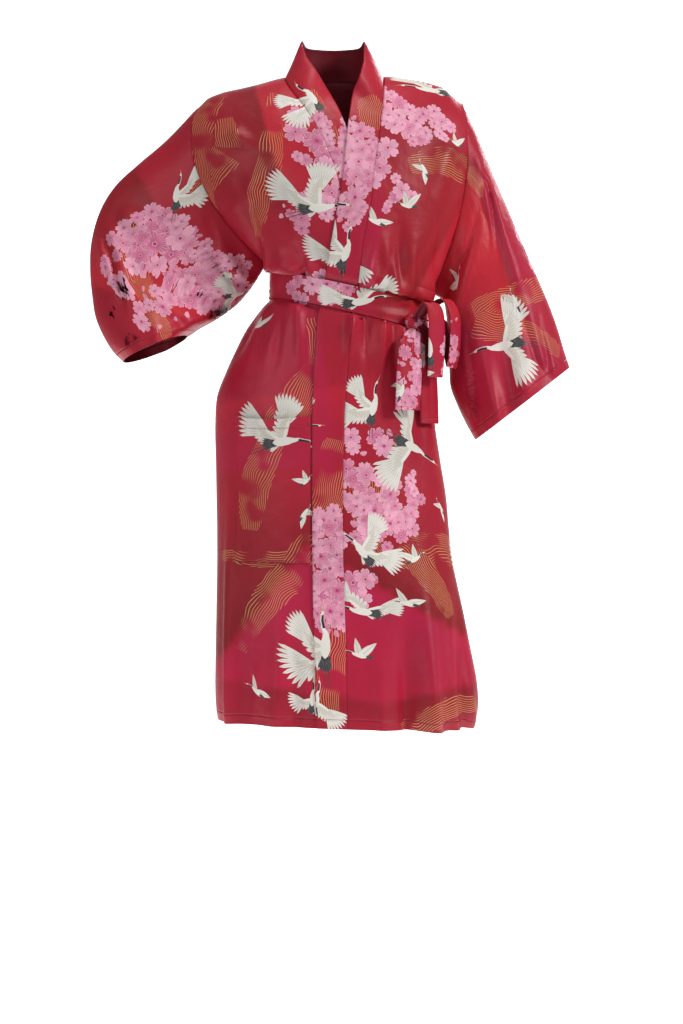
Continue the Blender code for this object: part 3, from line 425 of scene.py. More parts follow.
# Ground colours, linear, and the soft diagonal fields dyed into them
GROUND = (0.430, 0.0110, 0.0310)
BRICK = (0.215, 0.0080, 0.0110)
MAGENTA = (0.470, 0.0125, 0.0600)
BRIGHT = (0.600, 0.0210, 0.0360)
FIELD_EDGE = 4.0
Field = namedtuple("Field", "x y lean run fade weight colour")
FIELDS = (
    Field(262, 606, -52, 110, 70, 0.95, MAGENTA), Field(262, 606, 128, 110, 90, 0.95, BRICK),
    Field(260, 395, -8, 80, 50, 0.9, BRIGHT), Field(270, 470, 175, 80, 60, 0.8, MAGENTA),
    Field(400, 600, 30, 110, 80, 0.95, MAGENTA), Field(400, 600, 210, 110, 70, 0.95, BRICK),
    Field(420, 250, -60, 90, 50, 0.9, BRIGHT), Field(446, 240, 118, 90, 40, 0.8, BRICK),
    Field(500, 250, 70, 100, 40, 1.0, BRIGHT), Field(500, 250, 250, 100, 40, 0.7, MAGENTA),
    Field(500, 330, 10, 90, 60, 0.8, MAGENTA), Field(150, 190, 60, 90, 60, 0.9, BRICK),
    Field(130, 300, 200, 70, 50, 0.9, BRIGHT), Field(270, 130, 75, 90, 60, 0.8, BRICK),
    Field(270, 150, -105, 80, 50, 0.8, BRIGHT), Field(440, 130, 40, 60, 50, 0.7, BRICK),
    Field(300, 690, 8, 90, 40, 0.7, BRICK), Field(440, 690, -12, 60, 60, 0.8, BRICK),
    Field(330, 400, 84, 120, 36, 0.8, MAGENTA), Field(380, 250, 96, 70, 40, 0.8, MAGENTA))

# Kinds of printed motif
PLAIN, PETAL, FEATHER, STREAM = 0, 1, 2, 3
Motif = namedtuple("Motif", "points colour kind frame")


# Print colours, linear
WHITE = (0.820, 0.790, 0.720)
CREAM = (0.720, 0.670, 0.580)
INK = (0.022, 0.024, 0.030)
LEG = (0.060, 0.045, 0.045)
CROWN = (0.620, 0.020, 0.020)
GOLD = (0.640, 0.330, 0.130)
PINK_DEEP = (0.640, 0.150, 0.290)
PINK_PALE = (0.830, 0.360, 0.500)
HEART = (0.440, 0.050, 0.150)

PALE_LINE = (0.900, 0.640, 0.690)
FEATHER_LINE = (0.330, 0.310, 0.300)
VEINS = 26.0
BARBS = 60.0
WATER_PITCH = 0.0036

THREAD_DARK = (0.280, 0.008, 0.020)
THREAD_PALE = (0.500, 0.020, 0.045)

# Outlines of the motif parts: along 0 to 1, across -0.5 to 0.5
FEATHER_SHAPE = ((0, -.24), (.40, -.48), (.82, -.42), (1, -.04), (.88, .34), (.45, .5), (0, .24))
TAIL_SHAPE = ((0, -.3), (.4, -.5), (.75, -.36), (1, 0), (.75, .36), (.4, .5), (0, .3))
BODY_SHAPE = ((0, 0), (.10, -.28), (.32, -.48), (.62, -.42), (.88, -.22), (1, 0), (.88, .22), (.62, .42), (.32, .48), (.10, .28))
BEAK_SHAPE = ((0, -.5), (1, 0), (0, .5))
PETAL_SHAPE = ((0.06, -.05), (.42, -.34), (.74, -.44), (.97, -.22), (.89, 0), (.98, .20), (.76, .43), (.42, .34), (0.06, .05))
HEART_SHAPE = ((0, 0), (.25, -.43), (.75, -.43), (1, 0), (.75, .43), (.25, .43))
WING_SHAPE = ((0, -.35), (.25, -.5), (.55, -.36), (.85, -.12), (1, .02), (.80, .22), (.50, .42), (.2, .5), (0, .3))
COVERTS = ((0.62, 0.055), (0.38, 0.050))

# Wings: angles of the arm, of the feathers at the body, wrist and tip, and lengths
Fan = namedtuple("Fan", "arm back middle lead reach short long inner outer")
POSES = {
    "rise": (Fan(112, 196, 150, 78, 0.20, 0.27, 0.42, 7, 9),
             Fan(62, 120, 80, 28, 0.17, 0.22, 0.38, 5, 8), 0.06, 0.00),
    "spread": (Fan(118, 200, 158, 96, 0.21, 0.27, 0.44, 7, 9),
               Fan(-112, -190, -150, -82, 0.18, 0.24, 0.40, 6, 8), 0.02, 0.02),
    "bank": (Fan(140, 215, 178, 118, 0.20, 0.25, 0.46, 7, 9),
             Fan(70, 140, 100, 40, 0.19, 0.25, 0.40, 6, 9), -0.05, 0.03),
    "glide": (Fan(158, 214, 190, 148, 0.22, 0.22, 0.40, 7, 8),
              Fan(36, 110, 66, 12, 0.18, 0.20, 0.36, 5, 7), 0.04, 0.00),
    "far": (Fan(128, 0, 0, 0, 0, 0, 0.56, 0, 0), Fan(70, 0, 0, 0, 0, 0, 0.46, 0, 0), 0.04, 0.0),
    "far_low": (Fan(160, 0, 0, 0, 0, 0, 0.54, 0, 0), Fan(52, 0, 0, 0, 0, 0, 0.50, 0, 0), 0.02, 0.1),
}

# The layout, in pixels of the picture as the robe shows in it
Bird = namedtuple("Bird", "x y angle size pose mirrored")
Cluster = namedtuple("Cluster", "x y rx ry lean count small large")
River = namedtuple("River", "path width")
Layout = namedtuple("Layout", "rivers clusters cranes")
PRINT_SEED = 11
DOUBLE_SHARE = 0.35
LOOSE_SHARE = 0.22
BLOSSOM_APART = 0.50
RIVER_REACH = 26
OUTLINE_STEP = 0.007
FRONT_LAYOUT = Layout(
    rivers=(
        River(((276, 92), (272, 130), (268, 165), (258, 205), (262, 245)), 26),
        River(((224, 118), (228, 150), (210, 172), (196, 196)), 34),
        River(((410, 166), (440, 160), (468, 172), (484, 190)), 30),
        River(((128, 224), (134, 262), (150, 300), (168, 338)), 26),
        River(((440, 316), (480, 312), (520, 330), (560, 352)), 30),
        River(((352, 326), (318, 372), (278, 430), (256, 480), (250, 530)), 34),
        River(((222, 556), (262, 560), (314, 554)), 16),
        River(((314, 536), (292, 572), (262, 606), (240, 650)), 30),
        River(((360, 470), (376, 520), (420, 552), (462, 548)), 44),
        River(((400, 540), (432, 580), (452, 616)), 30),
        River(((402, 730), (440, 716), (476, 704)), 24),
        River(((312, 318), (322, 370), (330, 420)), 20),
        River(((318, 560), (330, 600), (340, 650)), 22)),
    clusters=(
        Cluster(322, 134, 36, 32, 20, 18, 8, 16), Cluster(372, 128, 36, 43, 0, 21, 8, 16),
        Cluster(345, 186, 36, 30, -20, 14, 7, 15), Cluster(408, 118, 36, 21, 10, 13, 7, 14),
        Cluster(300, 214, 17, 17, 0, 7, 7, 13),
        Cluster(166, 244, 46, 30, 25, 34, 8, 15), Cluster(220, 278, 50, 24, 14, 30, 7, 14),
        Cluster(178, 300, 50, 20, -20, 22, 7, 13), Cluster(124, 258, 20, 34, 10, 14, 7, 13), Cluster(318, 290, 32, 15, 0, 10, 7, 13),
        Cluster(366, 470, 30, 49, 10, 21, 8, 16), Cluster(384, 512, 34, 45, -10, 19, 7, 15),
        Cluster(358, 560, 32, 43, 0, 16, 7, 15), Cluster(404, 500, 20, 34, 0, 12, 5, 9),
        Cluster(398, 196, 14, 24, 0, 7, 5, 10), Cluster(426, 128, 26, 16, 0, 12, 5, 10)),
    cranes=(
        Bird(313, 98, 118, 62, "rise", False), Bird(432, 90, 182, 74, "glide", True),
        Bird(176, 196, 100, 58, "rise", True), Bird(318, 208, 12, 76, "bank", False),
        Bird(346, 256, 60, 62, "spread", False), Bird(360, 302, 6, 66, "glide", False),
        Bird(236, 295, -8, 46, "spread", False), Bird(504, 346, 200, 80, "spread", True),
        Bird(282, 442, 6, 74, "bank", False), Bird(374, 408, 76, 62, "rise", False),
        Bird(412, 446, -14, 78, "spread", True), Bird(362, 552, 130, 62, "bank", True),
        Bird(364, 612, 176, 62, "glide", True), Bird(332, 660, 84, 86, "rise", False),
        Bird(312, 700, 82, 46, "spread", True), 
        Bird(457, 144, 160, 28, "far", True), Bird(425, 170, 110, 28, "far_low", False),
        Bird(408, 206, 170, 34, "far", True), Bird(376, 222, 160, 34, "far_low", True),
        Bird(457, 284, 60, 40, "far", False), Bird(516, 302, 110, 36, "far_low", False),
        Bird(258, 326, 170, 32, "far", True), Bird(442, 508, 120, 26, "far_low", False),
        Bird(306, 482, 40, 26, "far", False), Bird(304, 514, 60, 28, "far_low", True),
        Bird(415, 560, 30, 34, "far", False), Bird(408, 604, 176, 36, "far_low", True),
        Bird(361, 656, 170, 38, "far", True), Bird(256, 692, 150, 34, "far_low", True)))
BAND_LAYOUT = Layout(
    rivers=(
        River(((366, 96), (372, 112), (370, 128)), 30),
        River(((338, 440), (330, 480), (322, 520), (330, 545)), 44),
        River(((330, 620), (336, 650), (326, 690), (330, 720)), 30),
        River(((310, 90), (322, 118), (334, 140)), 20)),
    clusters=(
        Cluster(358, 152, 20, 36, -12, 26, 7, 14), Cluster(350, 200, 16, 28, 0, 15, 7, 13),
        Cluster(322, 138, 14, 28, -20, 13, 7, 13), Cluster(328, 560, 20, 54, 0, 30, 8, 15),
        Cluster(332, 614, 16, 22, 0, 12, 7, 13)),
    cranes=(
        Bird(313, 98, 118, 62, "rise", False), Bird(346, 254, 66, 66, "rise", False),
        Bird(318, 208, 12, 76, "bank", False), Bird(300, 428, 12, 50, "bank", False),
        Bird(326, 648, 84, 84, "rise", False), Bird(316, 702, 82, 52, "spread", True),
        Bird(362, 552, 130, 62, "bank", True)))
TAIL_LAYOUT = Layout(
    rivers=(),
    clusters=(Cluster(404, 366, 17, 46, 0, 40, 6, 12),),
    cranes=(Bird(402, 392, 70, 34, "far", False),))
LOOP_LAYOUT = Layout(
    rivers=(),
    clusters=(Cluster(454, 352, 12, 34, 0, 18, 6, 11),),
    cranes=(Bird(430, 350, 92, 60, "rise", False),))
REAR_LAYOUT = Layout(
    rivers=(
        River(((250, 110), (262, 160), (240, 210), (256, 250)), 34),
        River(((420, 120), (410, 170), (440, 220), (430, 262)), 34),
        River(((230, 360), (270, 420), (330, 470), (350, 540), (330, 610)), 46),
        River(((450, 380), (420, 440), (440, 520), (420, 590), (460, 650)), 40),
        River(((120, 220), (150, 270), (160, 330)), 30), River(((500, 240), (530, 300), (560, 350)), 30),
        River(((230, 640), (290, 660), (340, 720)), 34)),
    clusters=(
        Cluster(330, 140, 66, 36, 15, 20, 8, 16), Cluster(300, 196, 47, 32, -10, 12, 7, 15),
        Cluster(150, 270, 43, 36, 10, 12, 8, 16), Cluster(505, 260, 43, 43, 20, 12, 8, 16),
        Cluster(270, 400, 43, 38, 0, 12, 8, 16), Cluster(390, 470, 54, 51, 20, 18, 8, 16),
        Cluster(300, 590, 54, 38, -20, 14, 8, 16), Cluster(410, 640, 43, 36, 0, 12, 7, 15)),
    cranes=(
        Bird(400, 120, 160, 84, "spread", True), Bird(270, 130, 40, 78, "bank", False),
        Bird(350, 220, 100, 80, "rise", False), Bird(150, 210, 60, 72, "rise", False),
        Bird(520, 330, 140, 80, "spread", True), Bird(300, 340, 12, 84, "spread", False),
        Bird(390, 380, 150, 78, "far_low", True), Bird(260, 500, 70, 86, "rise", False),
        Bird(430, 560, 120, 78, "rise", True),
        Bird(340, 680, 30, 88, "spread", False), 
        Bird(220, 170, 30, 36, "far", False), Bird(440, 200, 150, 34, "far_low", True),
        Bird(480, 200, 60, 34, "far", False), Bird(110, 300, 80, 34, "far_low", False),
        Bird(230, 440, 30, 34, "far", False), Bird(440, 430, 160, 32, "far_low", True),
        Bird(370, 610, 60, 34, "far", False), Bird(460, 700, 130, 34, "far_low", True)))


def mix(a, b, share):
    return a + (b - a) * share


def smooth(value):
    value = max(0.0, min(1.0, value))
    return value * value * (3.0 - 2.0 * value)


def hermite(before, start, end, after, share):
    """Catmull-Rom value between start and end."""
    pull_in = 0.5 * (end - before)
    pull_out = 0.5 * (after - start)
    square = share * share
    cube = square * share
    return ((2 * cube - 3 * square + 1) * start + (cube - 2 * square + share) * pull_in
            + (3 * square - 2 * cube) * end + (cube - square) * pull_out)


def read_line(line, key, column):
    """Value of a column of a line at a key in its first column."""
    falling = line[0][0] > line[-1][0]
    rows = line[::-1] if falling else line
    key = max(rows[0][0], min(rows[-1][0], key))
    at = 0
    while at < len(rows) - 2 and rows[at + 1][0] < key:
        at += 1
    share = (key - rows[at][0]) / (rows[at + 1][0] - rows[at][0])
    before = rows[max(0, at - 1)][column]
    after = rows[min(len(rows) - 1, at + 2)][column]
    return hermite(before, rows[at][column], rows[at + 1][column], after, share)


def armhole_point(hole, turn, side):
    """Point of an armhole, turn 0 at the shoulder and pi under the arm."""
    swing = math.sin(turn)
    x = mix(hole.low_x, hole.top_x, 0.5 + 0.5 * math.cos(turn)) + hole.bow * swing * swing
    z = mix(hole.low_z, hole.top_z, 0.5 + 0.5 * math.cos(turn))
    return Vector((x, side * hole.half_depth * swing, z))


def lower_ring(v):
    """Ring below the underarm, by smooth steps between the table's rows."""
    start = Ring(HOLE_RIGHT.low_x, HOLE_RIGHT.low_z, HOLE_LEFT.low_x, HOLE_LEFT.low_z,
                 CHEST_FRONT * (1 - UNDERARM_EASE), CHEST_BACK * (1 - UNDERARM_EASE))
    rings = (start,) + RINGS
    place = max(0.0, min(len(rings) - 1.0, v - YOKE_ROWS))
    at = min(int(place), len(rings) - 2)
    around = (rings[max(0, at - 1)], rings[at], rings[at + 1],
              rings[min(len(rings) - 1, at + 2)])
    return Ring(*(hermite(*values, place - at) for values in zip(*around)))


def row_edges(v, side):
    """Both ends of a row, its middle depth and how squarely it turns at them."""
    if v < YOKE_ROWS:
        turn = math.pi * v / YOKE_ROWS
        left = armhole_point(HOLE_RIGHT, turn, side)
        right = armhole_point(HOLE_LEFT, turn, side)
        share = v / YOKE_ROWS
        depth = CHEST_FRONT if side < 0 else CHEST_BACK
        depth *= math.sin(0.5 * math.pi * min(1.0, share / CHEST_FULL_AT))
        depth *= 1 - UNDERARM_EASE * smooth((share - CHEST_FULL_AT) / (1 - CHEST_FULL_AT))
        power = mix(1.0, 1.0 / RING_POWER, smooth(share * share))
        return left, right, depth, power
    ring = lower_ring(v)
    left = Vector((ring.x_left, 0.0, ring.z_left))
    right = Vector((ring.x_right, 0.0, ring.z_right))
    return left, right, ring.front if side < 0 else ring.back, 1.0 / RING_POWER


def shoulder_rise(share):
    """Height of the shoulder line over the chord between the two armhole tops."""
    x = mix(HOLE_RIGHT.top_x, HOLE_LEFT.top_x, share)
    return read_line(SHOULDER_LINE, x, 1) - mix(HOLE_RIGHT.top_z, HOLE_LEFT.top_z, share)


def body_point(v, across, side):
    """Point of the body's surface: row v, across 0 to 1 from -X to +X."""
    left, right, depth, power = row_edges(v, side)
    lean = math.cos(math.pi * across)
    share = 0.5 - 0.5 * lean
    full = max(0.0, 1.0 - abs(lean) ** RING_POWER) ** power
    y = mix(mix(left.y, right.y, share), side * depth, full)
    z = mix(left.z, right.z, share)
    if v < YOKE_ROWS:
        z += shoulder_rise(share) * (1.0 - v / YOKE_ROWS) ** SHOULDER_POWER
    return Vector((mix(left.x, right.x, share), y, z))


def across_at(v, x, side):
    """Place across a row where the surface has this x."""
    left, right, depth, power = row_edges(v, side)
    share = max(0.0, min(1.0, (x - left.x) / (right.x - left.x)))
    return math.acos(1.0 - 2.0 * share) / math.pi


def row_at(x, z, side):
    """Row where the surface has this x and z."""
    low, high = 0.0, float(ROWS)
    for step in range(HALVINGS):
        v = 0.5 * (low + high)
        if body_point(v, across_at(v, x, side), side).z > z:
            low = v
        else:
            high = v
    return 0.5 * (low + high)


def body_normal(v, across, side):
    """Outward direction of the body's surface."""
    across = max(2 * SLOPE_ACROSS, min(1 - 2 * SLOPE_ACROSS, across))
    v = max(SLOPE_MARGIN, min(ROWS - SLOPE_MARGIN, v))
    along = (body_point(v, across + SLOPE_ACROSS, side)
             - body_point(v, across - SLOPE_ACROSS, side))
    down = body_point(v + SLOPE_ROWS, across, side) - body_point(v - SLOPE_ROWS, across, side)
    normal = along.cross(down).normalized()
    return normal if normal.y * side > 0 or abs(normal.y) < SIDEWAYS else -normal


def fold_height(folds, x, z):
    """Sum of the folds at a place seen from the front."""
    height = 0.0
    for fold in folds:
        run_x, run_z = fold.x2 - fold.x1, fold.z2 - fold.z1
        length = math.hypot(run_x, run_z)
        share = ((x - fold.x1) * run_x + (z - fold.z1) * run_z) / (length * length)
        if -FOLD_RUN_IN < share < 1.0:
            off = ((x - fold.x1) * run_z - (z - fold.z1) * run_x) / length
            fade = smooth((share + FOLD_RUN_IN) / FOLD_RISE) * (1.0 - smooth(share))
            height += fold.height * fade * math.exp(-(off / fold.width) ** 2)
    return height


def sash_nip(v):
    """Folds are pressed flat under the sash and full a little away from it."""
    away = max(SASH_TOP_ROW - v, v - SASH_FOOT_ROW, 0.0)
    return smooth(away / NIP_ROWS)


def sewn_fade(v, across, loose):
    """0 on the sewn sides and the shoulder seam, 1 a little away from them."""
    fade = smooth(v / SEWN_ROWS)
    if loose >= 0:
        fade *= smooth(across / SEWN_SHARE)
    if loose <= 0:
        fade *= smooth((1.0 - across) / SEWN_SHARE)
    return fade


def front_point(v, across, front):
    """Point of a front's outer face, with its folds and its lift."""
    point = body_point(v, across, -1)
    out = front.lift * smooth(v / LIFT_ROWS)
    out += fold_height(front.folds, point.x, point.z) * sash_nip(v)
    out *= sewn_fade(v, across, front.loose)
    return point + body_normal(v, across, -1) * out


def back_point(v, across):
    point = body_point(v, across, 1)
    out = fold_height(BACK_FOLDS, point.x, point.z) * sash_nip(v) * sewn_fade(v, across, 0)
    return point + body_normal(v, across, 1) * out


def seam_across(v, front, column):
    """Place across a row where a front's edge line crosses it."""
    if v == 0:
        return across_at(0, front.lines[0][column], -1)
    across = 0.5
    for step in range(SEAM_STEPS):
        z = body_point(v, across, -1).z
        across = across_at(v, read_line(front.lines, z, column), -1)
    return across




def all_folds(folds, creases):
    """The CAD folds, fuller, and the creases of the picture brought to the cloth's depth."""
    near = (FOLD_DEPTH - CAMERA[1]) / -CAMERA[1]
    made = [fold._replace(height=fold.height * FOLD_GAIN) for fold in folds]
    for x1, y1, x2, y2, width, height in creases:
        places = [CAMERA[0] + ((x - PIXEL_X) * PIXEL - CAMERA[0]) * near for x in (x1, x2)]
        heights = [CAMERA[2] + ((PIXEL_Z - y) * PIXEL - CAMERA[2]) * near for y in (y1, y2)]
        gain = min(CREASE_GAIN, CREASE_STEEP * width / abs(height))
        made.append(Fold(places[0], heights[0], places[1], heights[1], width, height * gain))
    return tuple(made)


def row_stops(fine=FINE_ROWS):
    return [step / fine for step in range(ROWS * fine + 1)]


def shares(count):
    """Shares across a panel, closer together beside its two seams."""
    stops = [step / count for step in range(count + 1)]
    close = SEAM_CLOSE / count
    return sorted(stops + [close, 1.0 - close])


def front_grid(front):
    """Rows of a front's outer face, each from one side of the body to its band seam."""
    grid = []
    for v in row_stops():
        seam = seam_across(v, front, 1)
        start, end = (0.0, seam) if front.loose > 0 else (seam, 1.0)
        grid.append([front_point(v, mix(start, end, share), front)
                     for share in shares(PANEL_COLUMNS * FINE_COLUMNS)])
    return grid


def back_grid():
    """Rows of the back's outer face; its neck edge is hollowed to the collar seam."""
    sides = shares(PANEL_COLUMNS * BACK_FINE_COLUMNS)
    count = NECK_COLUMNS * FINE_COLUMNS
    grid = []
    for v in row_stops(BACK_FINE_ROWS):
        ease = smooth(v / BACK_EASE_ROWS)
        left, right, depth, power = row_edges(v, 1)
        middle = 0.5 * (left.x + right.x)
        first = across_at(v, mix(NECK_LEFT_X, middle - BACK_HALF_NECK, ease), 1)
        last = across_at(v, mix(NECK_RIGHT_X, middle + BACK_HALF_NECK, ease), 1)
        stops = [(first * share, 0.0) for share in sides[:-1]]
        stops += [(mix(first, last, c / count), c / count) for c in range(count)]
        stops += [(mix(last, 1.0, share), 1.0) for share in sides]
        line = []
        for across, neck in stops:
            point = back_point(v, across)
            if 0.0 < neck < 1.0 and v < NECK_ROWS:
                hollow = math.sin(math.pi * neck) ** NECK_ROUND * (1 - v / NECK_ROWS) ** 2
                point.y += NECK_HOLLOW * hollow
            line.append(point)
        grid.append(line)
    return grid, len(sides) - 1, count


def chest_point(x, z, front):
    """Point of a front's outer face at a place seen from the front."""
    v = row_at(x, z, -1)
    return front_point(v, across_at(v, x, -1), front)


def band_section(v, seam, front):
    """Points of the neckband from its seam to its free edge at a front row."""
    section = [seam]
    on_chest = int(v) - LAST_COLLAR_ROW - 1
    for c in range(1, BAND_STRIPS + 1):
        share = c / BAND_STRIPS
        if v >= YOKE_ROWS:
            across = mix(seam_across(v, front, 1), seam_across(v, front, 2), share)
            point = front_point(v, across, front)
        elif on_chest < 0:
            point = mix(seam, Vector(front.collar[int(v)]), share)
            point.y -= COLLAR_BELLY * math.sin(math.pi * share) * v / LAST_COLLAR_ROW
        else:
            free_x, free_z = front.chest[on_chest]
            point = chest_point(mix(seam.x, free_x, share), mix(seam.z, free_z, share), front)
        section.append(point)
    return section


def neck_section(c, seam):
    """Points of the standing collar at a column of the back's neck edge."""
    turn = math.pi * c / NECK_COLUMNS
    x = mix(UNDER_COLLAR[0][0], OVER_COLLAR[0][0], 0.5 - 0.5 * math.cos(turn))
    free = Vector((x, COLLAR_BACK_Y * math.sin(turn) ** NECK_ROUND, COLLAR_BACK_Z))
    return [mix(seam, free, s / BAND_STRIPS) for s in range(BAND_STRIPS + 1)]


def band_grid(under, over, neck):
    """The long band from the under hem, round the neck, to the over hem.

    Above the underarm it runs smoothly through the CAD rows and stays on its seam.
    """
    corners = [band_section(v, under[v * FINE_ROWS][-1], UNDER) for v in range(YOKE_ROWS, -1, -1)]
    corners += [neck_section(c, neck[c * FINE_COLUMNS]) for c in range(1, NECK_COLUMNS)]
    corners += [band_section(v, over[v * FINE_ROWS][0], OVER) for v in range(YOKE_ROWS + 1)]
    seams = [under[k][-1] for k in range(YOKE_ROWS * FINE_ROWS, 0, -1)]
    steps = [(k / FINE_ROWS) for k in range(YOKE_ROWS * FINE_ROWS)]
    seams += neck[:-1]
    steps += [YOKE_ROWS + k / FINE_COLUMNS for k in range(NECK_COLUMNS * FINE_COLUMNS)]
    seams += [over[k][0] for k in range(YOKE_ROWS * FINE_ROWS + 1)]
    steps += [YOKE_ROWS + NECK_COLUMNS + k / FINE_ROWS for k in range(YOKE_ROWS * FINE_ROWS + 1)]
    upper = []
    for place, seam in zip(steps, seams):
        at = min(int(place), len(corners) - 2)
        around = (corners[max(0, at - 1)], corners[at], corners[at + 1],
                  corners[min(len(corners) - 1, at + 2)])
        line = [hermite(*points, place - at) for points in zip(*around)]
        shift = seam - line[0]
        upper.append([point + shift * (1.0 - c / BAND_STRIPS) for c, point in enumerate(line)])
    rows = [v for v in row_stops() if v > YOKE_ROWS]
    foot_under = [band_section(v, under[round(v * FINE_ROWS)][-1], UNDER) for v in rows[::-1]]
    foot_over = [band_section(v, over[round(v * FINE_ROWS)][0], OVER) for v in rows]
    return foot_under + upper + foot_over


def sleeve_grid(hole, rings, folds):
    """Rings of a sleeve from its armhole to its cuff, open along the underarm seam."""
    first = Cuffward(hole.top_x, hole.top_z, hole.low_x, hole.low_z, hole.half_depth, 0.0)
    rings = (first,) + rings
    grid = []
    for step in range((len(rings) - 1) * SLEEVE_FINE + 1):
        place = step / SLEEVE_FINE
        at = min(int(place), len(rings) - 2)
        around = (rings[max(0, at - 1)], rings[at], rings[at + 1],
                  rings[min(len(rings) - 1, at + 2)])
        ring = Cuffward(*(hermite(*values, place - at) for values in zip(*around)))
        bow = hole.bow * max(0.0, 1.0 - place / ARMHOLE_BOW_RINGS)
        line = []
        for j in range(SLEEVE_COLUMNS + 1):
            turn = 2.0 * math.pi * j / SLEEVE_COLUMNS + math.pi
            share = 0.5 + 0.5 * math.cos(turn)
            swing = math.sin(turn)
            point = Vector((mix(ring.in_x, ring.out_x, share) + bow * swing * swing,
                            ring.y - ring.half_depth * swing,
                            mix(ring.in_z, ring.out_z, share)))
            ease = smooth(place / SLEEVE_EASE_RINGS) * smooth(abs(swing) / SLEEVE_RIM)
            point.y -= math.copysign(fold_height(folds, point.x, point.z) * ease, swing)
            line.append(point)
        grid.append(line)
    return grid


def pocket_grid():
    """Patch pocket from the under front's points, moved out."""
    grid = []
    for r in range(POCKET_ROWS * FINE_ROWS + 1):
        down = r / (POCKET_ROWS * FINE_ROWS)
        line = []
        for along in shares(POCKET_COLUMNS * FINE_COLUMNS):
            x = mix(POCKET_LEFT_X, POCKET_RIGHT_X, along)
            gape = POCKET_SAG * math.sin(math.pi * along) * (1.0 - smooth(down / POCKET_SAG_RUN))
            z = mix(POCKET_MOUTH_Z, POCKET_FOOT_Z, down) - 2.0 * gape
            v = row_at(x, z, -1)
            out = body_normal(v, across_at(v, x, -1), -1) * (POCKET_GAP + POCKET_WALL + gape)
            line.append(chest_point(x, z, UNDER) + out)
        grid.append(line)
    return grid


def sash_point(turn, v):
    """Inner face of the sash: turn 0 to 1 over the front, 1 to 2 round the back."""
    side = -1 if turn <= 1.0 else 1
    across = turn if turn <= 1.0 else 2.0 - turn
    point = body_point(v, across, side)
    out = SASH_ROOM
    if side < 0:
        lap = smooth((point.x - LAP_START_X) / LAP_RUN)
        lap *= smooth((1.0 - across) / LAP_END_SHARE)
        out += OVERLAP_LIFT * lap
    return point + body_normal(v, across, side) * out


def sash_grid():
    """Outer face of the sash, with soft lengthwise creases, joined at the wearer's left."""
    grid = []
    for row in range(SASH_ROWS_FINE + 1):
        share = row / SASH_ROWS_FINE
        v = mix(SASH_TOP_ROW, SASH_FOOT_ROW, share)
        line = []
        for step in range(2 * SASH_STEPS * SASH_FINE + 1):
            turn = (1.0 + step / (SASH_STEPS * SASH_FINE)) % 2.0
            side = -1 if turn <= 1.0 else 1
            across = turn if turn <= 1.0 else 2.0 - turn
            point = sash_point(turn, v)
            crease = sash_crease(point.x * -side, share)
            line.append(point + body_normal(v, across, side) * (BAND_CLOTH + crease))
        grid.append(line)
    return grid


def sash_crease(x, share):
    """Depth of the sash's creases at a place along it and a share down it."""
    depth = 0.0
    for crease in SASH_CREASES:
        along = (x - crease.x1) / (crease.x2 - crease.x1)
        if 0.0 < along < 1.0:
            off = share - mix(crease.z1, crease.z2, along)
            fade = smooth(along / CREASE_END) * smooth((1.0 - along) / CREASE_END)
            depth += crease.height * fade * math.exp(-(off / crease.width) ** 2)
    return depth


def knot_middle():
    """Middle of the knot, seated on the sash's outer face, and its turn."""
    across = across_at(SASH_TOP_ROW + 1, KNOT_X, -1)
    seat = sash_point(across, SASH_TOP_ROW + 1)
    out = body_normal(SASH_TOP_ROW + 1, across, -1)
    middle = seat + out * (BAND_CLOTH + KNOT_GAP + 0.5 * KNOT_SIZE[1])
    middle.z = KNOT_Z
    return middle, math.atan2(out.x, -out.y)


def knot_seat(direction, press=0.0):
    """Root of a strip at the knot, its width square to its direction."""
    middle, turn = knot_middle()
    way = Vector(direction).normalized()
    own = way.copy()
    own.rotate(Euler((0.0, 0.0, -turn)))
    reach = 1.0 / math.sqrt(sum((2.0 * own[k] / KNOT_SIZE[k]) ** 2 for k in range(3)))
    seat = middle + way * (reach - KNOT_BITE - press)
    return Ribbon(*seat, RIBBON_ROOT, math.degrees(math.atan2(way.x, -way.y)))


def ribbon_grid(direction, sections, creases, returns=False, press=0.0):
    """Outer face of a strip of the bow: it leaves the knot and follows its sections."""
    rows = [knot_seat(direction, press)] + list(sections)
    if returns:
        rows.append(knot_seat(returns))
    grid = []
    last = len(rows) - 1
    for step in range(RIBBON_FINE * last + 1):
        place = step / RIBBON_FINE
        at = min(int(place), last - 1)
        around = (rows[max(0, at - 1)], rows[at], rows[at + 1], rows[min(last, at + 2)])
        here = Ribbon(*(hermite(*values, place - at) for values in zip(*around)))
        turn = math.radians(here.turn)
        wide = Vector((math.cos(turn), math.sin(turn), 0.0))
        off = Vector((math.sin(turn), -math.cos(turn), 0.0))
        middle = Vector((here.x, here.y, here.z))
        line = []
        for column in range(RIBBON_COLUMNS + 1):
            s = 2.0 * column / RIBBON_COLUMNS - 1.0
            gather = sum(depth * math.exp(-((s - seat) / spread) ** 2)
                         * math.exp(-(place - centre) ** 2 / (run * run))
                         for seat, spread, centre, run, depth in creases)
            rise = RIBBON_CROWN * (1.0 - s * s) * here.width + gather
            line.append(middle + wide * (0.5 * here.width * s) + off * rise)
        grid.append(line)
    return grid


def unit(vectors):
    return vectors / np.maximum(np.linalg.norm(vectors, axis=-1, keepdims=True), 1e-12)


